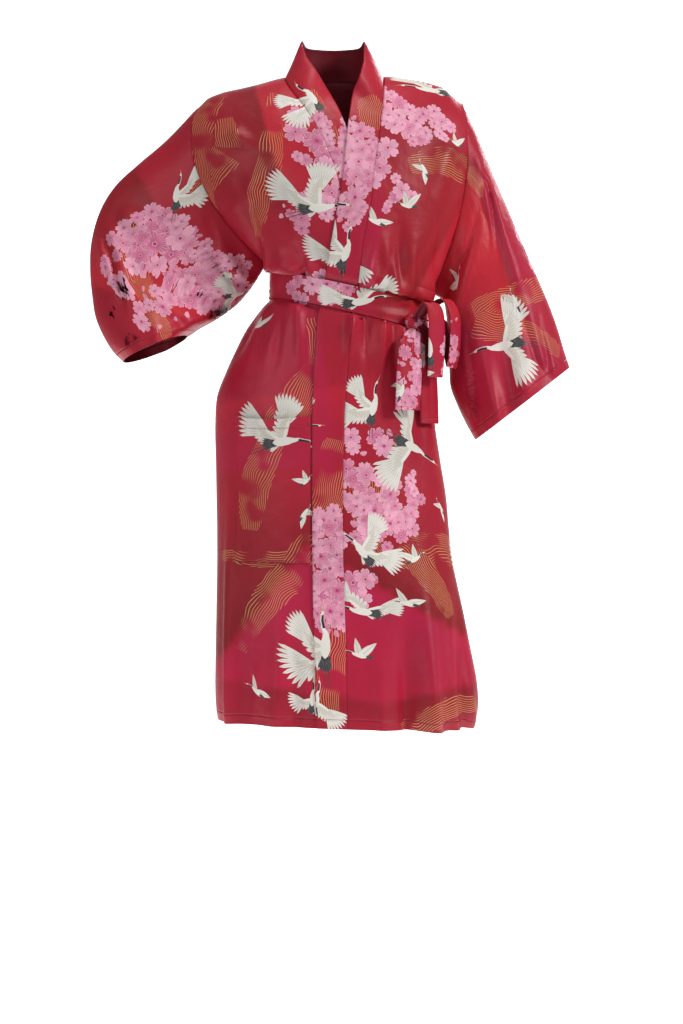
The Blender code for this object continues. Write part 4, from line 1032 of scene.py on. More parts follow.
def flatten(points, middle):
    """Flat cut of a grid of cloth, in metres, so that every small step keeps its length."""
    across = np.linalg.norm(np.diff(points, axis=1), axis=2)
    s = np.concatenate([np.zeros((len(points), 1)), np.cumsum(across, axis=1)], axis=1)
    s -= s[:, middle:middle + 1]
    t = np.zeros_like(s)
    t[0] = points[0, middle, 2] - points[0, :, 2]
    for i in range(len(points) - 1):
        step = np.linalg.norm(points[i + 1] - points[i], axis=1)
        slant = s[i + 1] - s[i]
        t[i + 1] = t[i] + np.sqrt(np.maximum(step ** 2 - slant ** 2, (LEAST_DROP * step) ** 2))
    flat = np.stack([s, t], axis=2)
    pairs = ((slice(None), slice(None, -1), slice(None), slice(1, None)),
             (slice(None, -1), slice(None), slice(1, None), slice(None)),
             (slice(None, -1), slice(None, -1), slice(1, None), slice(1, None)),
             (slice(None, -1), slice(1, None), slice(1, None), slice(None, -1)))
    lengths = [np.linalg.norm(points[c, d] - points[a, b], axis=2, keepdims=True)
               for a, b, c, d in pairs]
    for step in range(FLAT_STEPS):
        move = np.zeros_like(flat)
        for (a, b, c, d), length in zip(pairs, lengths):
            gap = flat[c, d] - flat[a, b]
            now = np.maximum(np.linalg.norm(gap, axis=2, keepdims=True), 1e-9)
            pull = gap * (0.5 * (now - length) / now)
            move[a, b] += pull
            move[c, d] -= pull
        flat = flat + move * FLAT_PULL
    return flat


class Panel:
    """One piece of cloth: outer points, normals, flat cut and where each point shows."""

    def __init__(self, name, grid, side, closed=False, wall=0.0010, sink=SEAM_SINK):
        self.name, self.side, self.wall = name, side, wall
        self.points = np.array([[tuple(point) for point in line] for line in grid])
        self.normals = self.square_out(closed)
        self.points[:, 0] -= self.normals[:, 0] * sink
        self.points[:, -1] -= self.normals[:, -1] * sink
        if name in SEWN_ON_TOP:
            self.points[0, 1:-1] -= self.normals[0, 1:-1] * sink
        self.normals = self.square_out(closed)
        self.flat = flatten(self.points, self.points.shape[1] // 2)
        seen = CAMERA[1] / (CAMERA[1] - self.points[..., 1:2])
        shown = self.points - np.array(CAMERA)
        self.pixel = np.stack([
            PIXEL_X + (CAMERA[0] + shown[..., 0] * seen[..., 0]) / PIXEL,
            PIXEL_Z - (CAMERA[2] + shown[..., 2] * seen[..., 0]) / PIXEL], axis=2)
        self.behind = np.stack([PIXEL_X + self.points[..., 0] / PIXEL,
                                PIXEL_Z - self.points[..., 2] / PIXEL], axis=2)
        self.facing = self.normals[..., 1] < 0.0
        half = len(self.points) // 2
        self.spans = [(0, half), (half, len(self.points))] if name == "neckband" else [(0, len(self.points))]
        fall = np.linalg.norm(np.diff(self.points, axis=0), axis=2)
        run = np.linalg.norm(np.diff(self.points, axis=1), axis=2)
        self.away = {edge: np.zeros(self.points.shape[:2]) for edge in ("top", "foot", "start", "end")}
        self.away["top"][1:] = np.cumsum(fall, axis=0)
        self.away["foot"][:-1] = np.cumsum(fall[::-1], axis=0)[::-1]
        self.away["start"][:, 1:] = np.cumsum(run, axis=1)
        self.away["end"][:, :-1] = np.cumsum(run[:, ::-1], axis=1)[:, ::-1]

    def square_out(self, closed):
        """Outward normals of the grid's points."""
        down = np.gradient(self.points, axis=0)
        along = np.gradient(self.points, axis=1)
        if closed:
            along[:, 0] = along[:, -1] = self.points[:, 1] - self.points[:, -2]
        return unit(np.cross(along, down) * self.side)

    def cloth(self):
        """Area of the cloth."""
        along = self.points[:-1, 1:] - self.points[:-1, :-1]
        down = self.points[1:, :-1] - self.points[:-1, :-1]
        return float(np.linalg.norm(np.cross(down, along), axis=2).sum())

    def hems(self):
        """How far each point is inside the nearest line of stitches, and from a seam."""
        inside = [self.away[edge] + HEM - inset for edge, inset in STITCHED.get(self.name, ())]
        hem = np.min(inside or [self.away["foot"] + 1.0], axis=0)
        return np.stack([hem, np.minimum(self.away["start"], self.away["end"])], axis=2)

    def line_at(self, edge, inset):
        """Points and normals of the line at this distance from an edge."""
        grids = [self.away[edge], self.points, self.normals]
        if edge in ("top", "foot"):
            grids = [np.swapaxes(grid, 0, 1) for grid in grids]
        if edge in ("foot", "end"):
            grids = [grid[:, ::-1] for grid in grids]
        far, points, normals = grids
        stops = np.array([np.interp(inset, line, np.arange(len(line))) for line in far])
        low = np.minimum(stops.astype(int), far.shape[1] - 2)
        share, rows = (stops - low)[:, None], np.arange(len(far))
        return [grid[rows, low] * (1 - share) + grid[rows, low + 1] * share
                for grid in (points, normals)]

    def nearest(self, x, y, rear, span):
        """Row and column whose outer point shows at this place, and how far off it is."""
        shown = (self.behind if rear else self.pixel)[span[0]:span[1]]
        off = np.linalg.norm(shown - np.array((x, y)), axis=2)
        off = np.where(self.facing[span[0]:span[1]] != rear, off, 1e6)
        i, j = np.unravel_index(np.argmin(off), off.shape)
        return i + span[0], j, off[i, j]

    def distance(self, x, y, rear, span):
        return self.nearest(x, y, rear, span)[2]

    def placing(self, x, y, angle, size, mirrored, rear, span):
        """Affine map that lays a motif on the flat cut so that it shows at x, y."""
        i, j, _ = self.nearest(x, y, rear, span)
        picture = self.behind if rear else self.pixel
        i0, i1 = max(i - 1, 0), min(i + 1, len(self.flat) - 1)
        j0, j1 = max(j - 1, 0), min(j + 1, len(self.flat[0]) - 1)
        flat = np.stack([self.flat[i, j1] - self.flat[i, j0], self.flat[i1, j] - self.flat[i0, j]], axis=1)
        shown = np.stack([picture[i, j1] - picture[i, j0], picture[i1, j] - picture[i0, j]], axis=1)
        shown[1] *= -1.0
        turn = flat @ np.linalg.inv(shown + np.eye(2) * 1e-6)
        u, _, w = np.linalg.svd(turn)
        turn = u @ w
        c, s = math.cos(math.radians(angle)), math.sin(math.radians(angle))
        own = np.array([[c, -s], [s, c]]) @ np.diag([size, -size if mirrored else size])
        off = np.array([x - picture[i, j, 0], picture[i, j, 1] - y]) * PIXEL
        return np.column_stack([turn @ own, self.flat[i, j] + turn @ off])

    def mesh(self, motifs):
        """Closed thin shell with the motifs cut crisply into its triangles."""
        rows, columns = self.flat.shape[:2]
        count = rows * columns
        index = np.arange(count).reshape(rows, columns)
        flat = self.flat.reshape(-1, 2)
        rim = (list(index[0]) + list(index[1:, -1]) + list(index[-1, -2::-1])
               + list(index[-2:0:-1, 0]))
        outer = self.skin([Vector(point) for point in flat], counted(rim, flat), motifs, index)
        loop = around(outer.tris)
        inside = index[1:-1, 1:-1].reshape(-1)
        coords = [Vector(outer.place[k]) for k in loop] + [Vector(flat[k]) for k in inside]
        known = {**{n: (0, k) for n, k in enumerate(loop)},
                 **{n + len(loop): (1, k) for n, k in enumerate(inside)}}
        inner = self.lining(coords, list(range(len(loop))), known, outer, flat)
        return build_mesh(self, outer, inner, loop, motifs)

    def skin(self, coords, rim, motifs, index):
        """The outer skin: the flat cut with its motifs cut in, lifted onto the form."""
        faces = [rim]
        for motif in motifs:
            start = len(coords)
            coords += [Vector(point) for point in motif.points]
            ring = list(range(start, len(coords)))
            faces.append(ring if area(motif.points) > 0 else ring[::-1])
        verts, _, tris, origin, _, owners = delaunay_2d_cdt(coords, [], faces, 1, 1e-7, True)
        keep = [k for k, own in enumerate(owners) if 0 in own]
        tris = np.array([tris[k] for k in keep])
        top = np.array([max(owners[k]) - 1 for k in keep])
        used, tris = np.unique(tris, return_inverse=True)
        place = np.array([verts[k] for k in used])
        data = self.lift(place, [origin[k] for k in used], index)
        return Skin(place, data, tris.reshape(-1, 3), top)

    def lining(self, coords, rim, known, outer, flat):
        """The inner skin: the plain grid inside the outer skin's own rim."""
        verts, _, tris, origin, _, owners = delaunay_2d_cdt(coords, [], [rim], 1, 1e-7, True)
        tris = [tri for tri, own in zip(tris, owners) if own]
        grid = self.data()
        data = []
        for own in origin:
            kind, k = known[own[0]]
            data.append(outer.data[k] if kind == 0 else grid[k])
        return Skin(np.array([tuple(vert) for vert in verts]), np.array(data), np.array(tris),
                    {own[0]: k for k, own in enumerate(origin)})

    def data(self):
        """Point, normal, ground colour and hem distances of each grid point."""
        return np.concatenate([self.points.reshape(-1, 3), self.normals.reshape(-1, 3),
                               self.ground().reshape(-1, 3), self.hems().reshape(-1, 2)], axis=1)

    def lift(self, place, origin, index):
        """Outer points, normals and ground colours of places on the flat cut."""
        count = index.size
        corners = np.stack([index[:-1, :-1], index[:-1, 1:], index[1:, 1:], index[1:, :-1]], axis=-1)
        corners = corners.reshape(-1, 4)
        cells = np.concatenate([corners[:, [0, 1, 2]], corners[:, [0, 2, 3]]])
        flat = self.flat.reshape(-1, 2)
        data = self.data()
        out = np.zeros((len(place), data.shape[1]))
        tree = BVHTree.FromPolygons([(x, y, 0.0) for x, y in flat], cells.tolist())
        loose, cell = [], []
        for k, own in enumerate(origin):
            grid = [o for o in own if o < count]
            if grid:
                out[k] = data[grid[0]]
            else:
                hit = tree.find_nearest(Vector((place[k][0], place[k][1], 0.0)))
                loose.append(k)
                cell.append(hit[2])
        if loose:
            trio = cells[cell]
            a, b, c = flat[trio[:, 0]], flat[trio[:, 1]], flat[trio[:, 2]]
            p = place[loose]
            whole = cross2(b - a, c - a)
            whole = np.where(np.abs(whole) < 1e-14, 1e-14, whole)
            wb = np.clip(cross2(p - a, c - a) / whole, 0, 1)[:, None]
            wc = np.clip(cross2(b - a, p - a) / whole, 0, 1)[:, None]
            out[loose] = (data[trio[:, 0]] * (1 - wb - wc) + data[trio[:, 1]] * wb
                          + data[trio[:, 2]] * wc)
        out[:, 3:6] = unit(out[:, 3:6])
        return out

    def ground(self):
        """Ground colour at each grid point: soft diagonal fields of crimson and brick."""
        shown = np.where(self.facing[..., None], self.pixel, self.behind)
        x, y = shown[..., 0], shown[..., 1]
        colour = np.tile(np.array(GROUND), x.shape + (1,))
        for field in FIELDS:
            lean = math.radians(field.lean)
            along = (x - field.x) * math.cos(lean) + (y - field.y) * math.sin(lean)
            depth = (y - field.y) * math.cos(lean) - (x - field.x) * math.sin(lean)
            weight = np.clip(depth / FIELD_EDGE, 0, 1) * np.exp(-np.maximum(depth, 0) / field.fade)
            weight = weight * np.exp(-(along / field.run) ** 4) * field.weight
            colour = colour * (1 - weight[..., None]) + np.array(field.colour) * weight[..., None]
        return colour


def cross2(a, b):
    return a[..., 0] * b[..., 1] - a[..., 1] * b[..., 0]


def area(points):
    points = np.asarray(points)
    return 0.5 * float(cross2(points, np.roll(points, -1, axis=0)).sum())


def counted(ring, flat):
    ring = [int(k) for k in ring]
    return ring if area(flat[ring]) > 0 else ring[::-1]


Skin = namedtuple("Skin", "place data tris top")


def around(tris):
    """The rim's points in order, as the triangles turn."""
    edges = np.concatenate([tris[:, [0, 1]], tris[:, [1, 2]], tris[:, [2, 0]]])
    keys = np.sort(edges, axis=1)
    _, first, uses = np.unique(keys[:, 0] * np.int64(tris.max() + 1) + keys[:, 1],
                               return_index=True, return_counts=True)
    after = dict(edges[first[uses == 1]].tolist())
    loop = [next(iter(after))]
    while after[loop[-1]] != loop[0]:
        loop.append(after[loop[-1]])
    return loop


def build_mesh(panel, outer, inner, loop, motifs):
    """Outer and inner skins with a rim, and the print as attributes of their corners."""
    count = len(outer.place)
    data = np.concatenate([outer.data, inner.data])
    place = np.concatenate([outer.place, inner.place])
    points, normals = data[:, :3].copy(), data[:, 3:6].copy()
    points[count:] -= normals[count:] * panel.wall
    normals[count:] *= -1.0
    under = np.array([inner.top[n] for n in range(len(loop))]) + count
    over = np.array(loop)
    after, below = np.roll(over, -1), np.roll(under, -1)
    wall = np.concatenate([np.stack([after, over, under], axis=1),
                           np.stack([after, under, below], axis=1)])
    everything = np.concatenate([outer.tris, inner.tris[:, ::-1] + count, wall])
    if panel.side < 0:
        everything = everything[:, ::-1]
    mesh = bpy.data.meshes.new(panel.name)
    mesh.from_pydata(points.tolist(), [], everything.tolist())
    corner = everything.reshape(-1)
    flat = place[corner]
    uv = mesh.uv_layers.new(name="cut")
    uv.data.foreach_set("uv", flat.astype(np.float32).reshape(-1))
    edge = mesh.uv_layers.new(name="edge")
    edge.data.foreach_set("uv", data[corner, 9:11].astype(np.float32).reshape(-1))
    owner = np.repeat(np.concatenate([outer.top, np.full(len(everything) - len(outer.tris), -1)]), 3)
    colour = np.ones((len(corner), 4))
    colour[:, :3] = data[corner, 6:9]
    mark = np.zeros((len(corner), 3))
    if motifs:
        colours = np.array([motif.colour for motif in motifs])
        kinds = np.array([motif.kind for motif in motifs])
        frames = np.array([motif.frame for motif in motifs])
        on = owner >= 0
        own = owner[on]
        solid = on.copy()
        solid[on] = kinds[own] != STREAM
        colour[solid, :3] = colours[owner[solid]]
        local = np.einsum("nij,nj->ni", frames[own][:, :, :2], flat[on]) + frames[own][:, :, 2]
        mark[on, :2] = local
        mark[on, 2] = kinds[own]
    layer = mesh.color_attributes.new("print", "FLOAT_COLOR", "CORNER")
    layer.data.foreach_set("color", colour.astype(np.float32).reshape(-1))
    layer = mesh.attributes.new("mark", "FLOAT_VECTOR", "CORNER")
    layer.data.foreach_set("vector", mark.astype(np.float32).reshape(-1))
    reverse = np.zeros(len(everything), np.int32)
    reverse[len(outer.tris):len(outer.tris) + len(inner.tris)] = 1
    mesh.polygons.foreach_set("material_index", reverse)
    mesh.polygons.foreach_set("use_smooth", np.ones(len(everything), bool))
    mesh.normals_split_custom_set_from_vertices(normals.astype(np.float32).tolist())
    mesh.update()
    return mesh


def turned(angle):
    return np.array([[math.cos(angle), -math.sin(angle)], [math.sin(angle), math.cos(angle)]])


def blade(root, way, length, width, colour, kind, shape):
    """Leaf-shaped piece of a motif: where it starts, its direction, length and width."""
    axes = turned(math.radians(way))
    points = np.array(shape) * (length, width) @ axes.T + np.array(root)
    inverse = np.diag([1.0 / length, 1.0 / width]) @ axes.T
    return Motif(points, colour, kind, np.column_stack([inverse, -inverse @ np.array(root)]))


def stepped(points):
    """An outline with points added, so that it follows the folds of the cloth."""
    made = []
    for start, end in zip(points, np.roll(points, -1, axis=0)):
        count = max(1, math.ceil(np.linalg.norm(end - start) / OUTLINE_STEP))
        made += [mix(start, end, k / count) for k in range(count)]
    return np.array(made)


def laid(motif, place):
    """The motif moved by an affine map, its own coordinates with it."""
    points = stepped(motif.points @ place[:, :2].T + place[:, 2])
    inverse = np.linalg.inv(place[:, :2])
    own = motif.frame[:, :2] @ inverse
    return Motif(points, motif.colour, motif.kind,
                 np.column_stack([own, motif.frame[:, 2] - own @ place[:, 2]]))


def stroke(line, widths, colour):
    """Thin bent stroke through points, for a neck or a leg."""
    line = np.array(line, float)
    way = unit(np.gradient(line, axis=0))
    side = np.stack([-way[:, 1], way[:, 0]], axis=1) * 0.5 * np.array(widths)[:, None]
    return Motif(np.concatenate([line + side, (line - side)[::-1]]), colour, PLAIN,
                 np.array([[1.0, 0, 0], [0, 1.0, 0]]))


def wing(root, fan, white, cream):
    """Spread wing: arm, long outer feathers, inner feathers and two rows of coverts."""
    arm = np.array([math.cos(math.radians(fan.arm)), math.sin(math.radians(fan.arm))])
    root, wrist = np.array(root), np.array(root) + arm * fan.reach
    made = []
    for k in range(fan.inner):
        share = k / (fan.inner - 1)
        made.append(blade(root + arm * fan.reach * share, mix(fan.back, fan.middle, share),
                          fan.short * (0.85 + 0.2 * share), 0.058, white, FEATHER, FEATHER_SHAPE))
    for k in range(fan.outer):
        share = k / (fan.outer - 1)
        length = fan.long * (0.80 + 0.28 * math.sin(math.pi * (0.25 + 0.5 * share)))
        made.append(blade(wrist + arm * 0.03 * share, mix(fan.middle, fan.lead, share),
                          length, 0.052, white, FEATHER, FEATHER_SHAPE))
    for row, (reach, wide) in enumerate(COVERTS):
        count = fan.inner + 3 - row
        for k in range(count):
            share = k / (count - 1)
            made.append(blade(root + arm * (fan.reach + 0.03) * share,
                              mix(fan.back, mix(fan.middle, fan.lead, 0.55), share),
                              fan.short * reach * (0.9 + 0.3 * share), wide, cream,
                              FEATHER, FEATHER_SHAPE))
    made.append(blade(root - arm * 0.02, fan.arm, fan.reach + 0.10, 0.050, white, PLAIN, FEATHER_SHAPE))
    return made


def crane(pose):
    """Flying crane, head towards +x, about one unit long, in one of the poses."""
    near, far, neck, droop = pose
    made = [stroke(((-0.12, -0.02), (-0.30, -0.05 - droop), (-0.48, -0.09 - droop)),
                   (0.014, 0.010, 0.006), LEG)]
    made.append(stroke(((-0.12, 0.01), (-0.30, -0.01 - droop), (-0.47, -0.04 - droop)),
                       (0.012, 0.009, 0.006), LEG))
    made += wing((0.03, 0.02), far, WHITE, CREAM)
    made += wing((0.00, 0.01), near, WHITE, CREAM)
    for row, (start, length) in enumerate(((-0.06, 0.25), (-0.03, 0.17))):
        for k in range(7):
            made.append(blade((start, -0.005), 158 + 7.5 * k, length - 0.012 * abs(k - 3), 0.040,
                              INK, FEATHER, TAIL_SHAPE))
    made.append(blade((-0.13, 0.0), 2, 0.34, 0.120, WHITE, PLAIN, BODY_SHAPE))
    return made + crane_head(neck)


def crane_head(neck):
    """White neck with its black front, head, red crown and bill."""
    points = [(0.15, 0.005), (0.22, 0.03 + 0.3 * neck), (0.30, 0.03 + 0.75 * neck), (0.39, 0.02 + neck)]
    made = [stroke(points, (0.060, 0.038, 0.028, 0.030), WHITE),
            stroke([(x + 0.004, y - 0.008) for x, y in points[1:]], (0.030, 0.026, 0.020), INK)]
    head = points[-1]
    made.append(blade((head[0] - 0.022, head[1]), -6, 0.060, 0.042, WHITE, PLAIN, BODY_SHAPE))
    made.append(blade((head[0] - 0.004, head[1] + 0.013), -4, 0.026, 0.014, CROWN, PLAIN, BODY_SHAPE))
    made.append(blade((head[0] + 0.026, head[1] - 0.002), -10, 0.105, 0.018, GOLD, PLAIN, BEAK_SHAPE))
    return made


def far_crane(pose):
    """Small crane far off: two whole wings, a body, a dark neck and tail."""
    near, far, neck, droop = pose
    made = [blade((0.04, 0.0), far.arm, far.long, 0.20, CREAM, FEATHER, WING_SHAPE),
            blade((0.0, 0.0), near.arm, near.long, 0.22, WHITE, FEATHER, WING_SHAPE),
            blade((-0.08, 0.0), 176 + 60 * droop, 0.26, 0.080, INK, FEATHER, TAIL_SHAPE),
            blade((-0.15, 0.0), 2, 0.38, 0.130, WHITE, PLAIN, BODY_SHAPE)]
    return made + crane_head(neck)


def blossom(petals, colour, heart, turn, double):
    """Open cherry blossom, one unit in radius, single or double."""
    made = []
    rings = ((1.0, petals, 0.0), (0.62, 5, 0.4)) if double else ((1.0, petals, 0.0),)
    for size, count, shift in rings:
        for k in range(count):
            way = turn + 360.0 * (k + shift) / count
            tone = tuple(c * (1.0 + 0.10 * math.sin(2.3 * k + turn)) for c in colour)
            made.append(blade((0.0, 0.0), way, size, size * 4.7 / count, tone, PETAL, PETAL_SHAPE))
    made.append(blade((-0.13, 0.0), 0, 0.26, 0.26, heart, PLAIN, HEART_SHAPE))
    return made


def spots(rng, cluster):
    """Places of a cluster's blossoms in the picture, kept apart: x, y, radius."""
    found = []
    for attempt in range(cluster.count * 40):
        if len(found) == cluster.count:
            break
        way, far = rng.uniform(0, 2 * math.pi), math.sqrt(rng.random())
        x, y = far * math.cos(way) * cluster.rx, far * math.sin(way) * cluster.ry
        lean = math.radians(cluster.lean)
        spot = (cluster.x + x * math.cos(lean) - y * math.sin(lean),
                cluster.y + x * math.sin(lean) + y * math.cos(lean),
                rng.uniform(cluster.small, cluster.large) * (1.15 - 0.4 * far))
        if all(math.hypot(spot[0] - a, spot[1] - b) > BLOSSOM_APART * (spot[2] + c) for a, b, c in found):
            found.append(spot)
    return found


def stream(panel, river, rear, span):
    """Band of water lines along a path of the picture, as quads on the flat cut."""
    flats = []
    for x, y in river.path:
        if panel.distance(x, y, rear, span) < RIVER_REACH:
            flats.append(panel.placing(x, y, 0, 1.0, False, rear, span)[:, 2])
    if len(flats) < 2:
        return []
    steps = sum(np.linalg.norm(b - a) for a, b in zip(flats, flats[1:])) / OUTLINE_STEP
    place = np.linspace(0, len(flats) - 1, math.ceil(steps) + 1)
    line = []
    for spot in place:
        at = min(int(spot), len(flats) - 2)
        around = (flats[max(0, at - 1)], flats[at], flats[at + 1], flats[min(len(flats) - 1, at + 2)])
        line.append(hermite(*around, spot - at))
    line = np.array(line)
    way = unit(np.gradient(line, axis=0))
    side = np.stack([-way[:, 1], way[:, 0]], axis=1)
    run = np.concatenate([[0.0], np.cumsum(np.linalg.norm(np.diff(line, axis=0), axis=1))])
    wide = 0.5 * river.width * PIXEL * (0.35 + 0.65 * np.sin(np.pi * np.linspace(0.08, 0.92, len(line))))
    made = []
    for k in range(len(line) - 1):
        ring = np.array([line[k] - side[k] * wide[k], line[k + 1] - side[k + 1] * wide[k + 1],
                         line[k + 1] + side[k + 1] * wide[k + 1], line[k] + side[k] * wide[k]])
        local = np.array([[run[k], -wide[k]], [run[k + 1], -wide[k + 1]],
                          [run[k + 1], wide[k + 1]], [run[k], wide[k]]])
        system = np.column_stack([ring, np.ones(4)])
        fit = np.linalg.lstsq(system, local, rcond=None)[0].T
        sides = np.roll(ring, -1, axis=0) - ring
        bends = cross2(sides, np.roll(sides, -1, axis=0))
        if (bends > 0).all() or (bends < 0).all():
            made.append(Motif(stepped(ring), GOLD, STREAM, fit))
    return made


def flowers(panel, cluster, rng, rear, span):
    """The blossoms and loose petals of a cluster that fall on this piece."""
    made = []
    for x, y, radius in spots(rng, cluster):
        turn, tone, kind = rng.uniform(0, 360), rng.random(), rng.random()
        if panel.distance(x, y, rear, span) > radius * 1.1:
            continue
        colour = [mix(a, b, tone) for a, b in zip(PINK_DEEP, PINK_PALE)]
        place = panel.placing(x, y, 0, radius * PIXEL, False, rear, span)
        if kind < LOOSE_SHARE:
            flower = [blade((0.0, 0.0), turn + 50 * k, 0.62, 0.50, colour, PETAL, PETAL_SHAPE)
                      for k in range(2)]
        else:
            double = kind < LOOSE_SHARE + DOUBLE_SHARE
            flower = blossom(7 if double else 5, colour, HEART, turn, double)
        made += [laid(part, place) for part in flower]
    return made


def printed(panel):
    """All motifs of one piece, lowest first: water, then blossoms, then cranes."""
    made = []
    front = OWN_LAYOUTS.get(panel.name, FRONT_LAYOUT)
    for rear, layout in ((False, front), (True, REAR_LAYOUT)):
        for span in panel.spans:
            for river in layout.rivers:
                made += stream(panel, river, rear, span)
        for span in panel.spans:
            rng = random.Random(PRINT_SEED)
            for cluster in layout.clusters:
                made += flowers(panel, cluster, rng, rear, span)
        for span in panel.spans:
            for bird in layout.cranes:
                if panel.distance(bird.x, bird.y, rear, span) < 0.45 * bird.size:
                    place = panel.placing(bird.x, bird.y, bird.angle, bird.size * PIXEL,
                                          bird.mirrored, rear, span)
                    draw = far_crane if bird.pose.startswith("far") else crane
                    made += [laid(part, place) for part in draw(POSES[bird.pose])]
    return made


SEWN_ON_TOP = ("front_right", "front_left", "back_panel", "sleeve_right", "sleeve_left")
OWN_LAYOUTS = {"neckband": BAND_LAYOUT, "bow_knot": TAIL_LAYOUT, "bow_tail_front": TAIL_LAYOUT,
               "bow_tail_rear": LOOP_LAYOUT, "bow_loop_outer": LOOP_LAYOUT,
               "bow_loop_inner": LOOP_LAYOUT}
KNOT_FINE = 24


def node(tree, kind, links=(), **values):
    made = tree.nodes.new(kind)
    for name, value in values.items():
        setattr(made, name, value)
    for socket, source in links:
        if isinstance(source, bpy.types.NodeSocket):
            tree.links.new(source, made.inputs[socket])
        else:
            made.inputs[socket].default_value = source
    return made


def maths(tree, operation, *values):
    return node(tree, "ShaderNodeMath", list(enumerate(values)), operation=operation).outputs[0]


def ramp(tree, value, low, high):
    """0 below low, 1 above high, smooth between."""
    return node(tree, "ShaderNodeMapRange", [
        ("Value", value), ("From Min", low), ("From Max", high)],
        interpolation_type="SMOOTHSTEP").outputs["Result"]


def tinted(tree, below, colour, share):
    """Colour laid over another by a share."""
    made = node(tree, "ShaderNodeMix", data_type="RGBA")
    tree.links.new(share, made.inputs["Factor"])
    tree.links.new(below, made.inputs[6])
    made.inputs[7].default_value = (*colour, 1.0)
    return made.outputs[2]


def drawn(tree, colour, cut):
    """Fine drawing inside the motifs: petal veins and rims, feather quills, water lines."""
    mark = node(tree, "ShaderNodeAttribute", attribute_name="mark").outputs["Vector"]
    parts = node(tree, "ShaderNodeSeparateXYZ", [("Vector", mark)])
    along, across, kind = parts.outputs["X"], parts.outputs["Y"], parts.outputs["Z"]
    wide = maths(tree, "ABSOLUTE", across)
    petal = maths(tree, "COMPARE", kind, PETAL, 0.4)
    feather = maths(tree, "COMPARE", kind, FEATHER, 0.4)
    water = maths(tree, "COMPARE", kind, STREAM, 0.4)
    lean = maths(tree, "DIVIDE", across, maths(tree, "ADD", along, 0.12))
    veins = ramp(tree, maths(tree, "SINE", maths(tree, "MULTIPLY", lean, VEINS)), 0.25, 0.9)
    veins = maths(tree, "MULTIPLY", veins, ramp(tree, along, 0.30, 0.55))
    far = maths(tree, "POWER", maths(tree, "DIVIDE", maths(tree, "SUBTRACT", along, 0.55), 0.47), 2.0)
    far = maths(tree, "ADD", far, maths(tree, "POWER", maths(tree, "DIVIDE", wide, 0.42), 2.0))
    rim = ramp(tree, far, 0.62, 0.80)
    outline = ramp(tree, far, 0.93, 1.02)
    colour = tinted(tree, colour, HEART, maths(tree, "MULTIPLY", petal, maths(
        tree, "MULTIPLY", 0.55, maths(tree, "SUBTRACT", 1.0, ramp(tree, along, 0.08, 0.36)))))
    colour = tinted(tree, colour, PALE_LINE, maths(tree, "MULTIPLY", petal, maths(
        tree, "MULTIPLY", 0.60, maths(tree, "MAXIMUM", rim, maths(tree, "MULTIPLY", 0.6, veins)))))
    colour = tinted(tree, colour, HEART, maths(tree, "MULTIPLY", petal, maths(
        tree, "MULTIPLY", 0.70, outline)))
    quill = maths(tree, "SUBTRACT", 1.0, ramp(tree, wide, 0.02, 0.07))
    edge = maths(tree, "MAXIMUM", ramp(tree, wide, 0.36, 0.46), ramp(tree, along, 0.93, 0.99))
    barbs = maths(tree, "SINE", maths(tree, "MULTIPLY", maths(
        tree, "SUBTRACT", along, maths(tree, "MULTIPLY", 0.5, wide)), BARBS))
    grey = maths(tree, "MAXIMUM", maths(tree, "MULTIPLY", 0.55, quill), maths(tree, "MULTIPLY", 0.85, edge))
    grey = maths(tree, "MAXIMUM", grey, maths(tree, "MULTIPLY", 0.16, ramp(tree, barbs, 0.0, 1.0)))
    colour = tinted(tree, colour, FEATHER_LINE, maths(tree, "MULTIPLY", feather, grey))
    sway = node(tree, "ShaderNodeTexNoise", [("Vector", cut), ("Scale", 20.0), ("Detail", 0.4)])
    lane = maths(tree, "ADD", maths(tree, "DIVIDE", across, WATER_PITCH),
                 maths(tree, "MULTIPLY", 8.0, sway.outputs["Fac"]))
    lane = maths(tree, "ABSOLUTE", maths(tree, "SUBTRACT", maths(tree, "FRACT", lane), 0.5))
    gold = maths(tree, "SUBTRACT", 1.0, ramp(tree, lane, 0.07, 0.15))
    broken = node(tree, "ShaderNodeTexNoise", [("Vector", cut), ("Scale", 15.0), ("Detail", 2.0)])
    gold = maths(tree, "MULTIPLY", gold, ramp(tree, broken.outputs["Fac"], 0.40, 0.50))
    return tinted(tree, colour, GOLD, maths(tree, "MULTIPLY", water, gold))


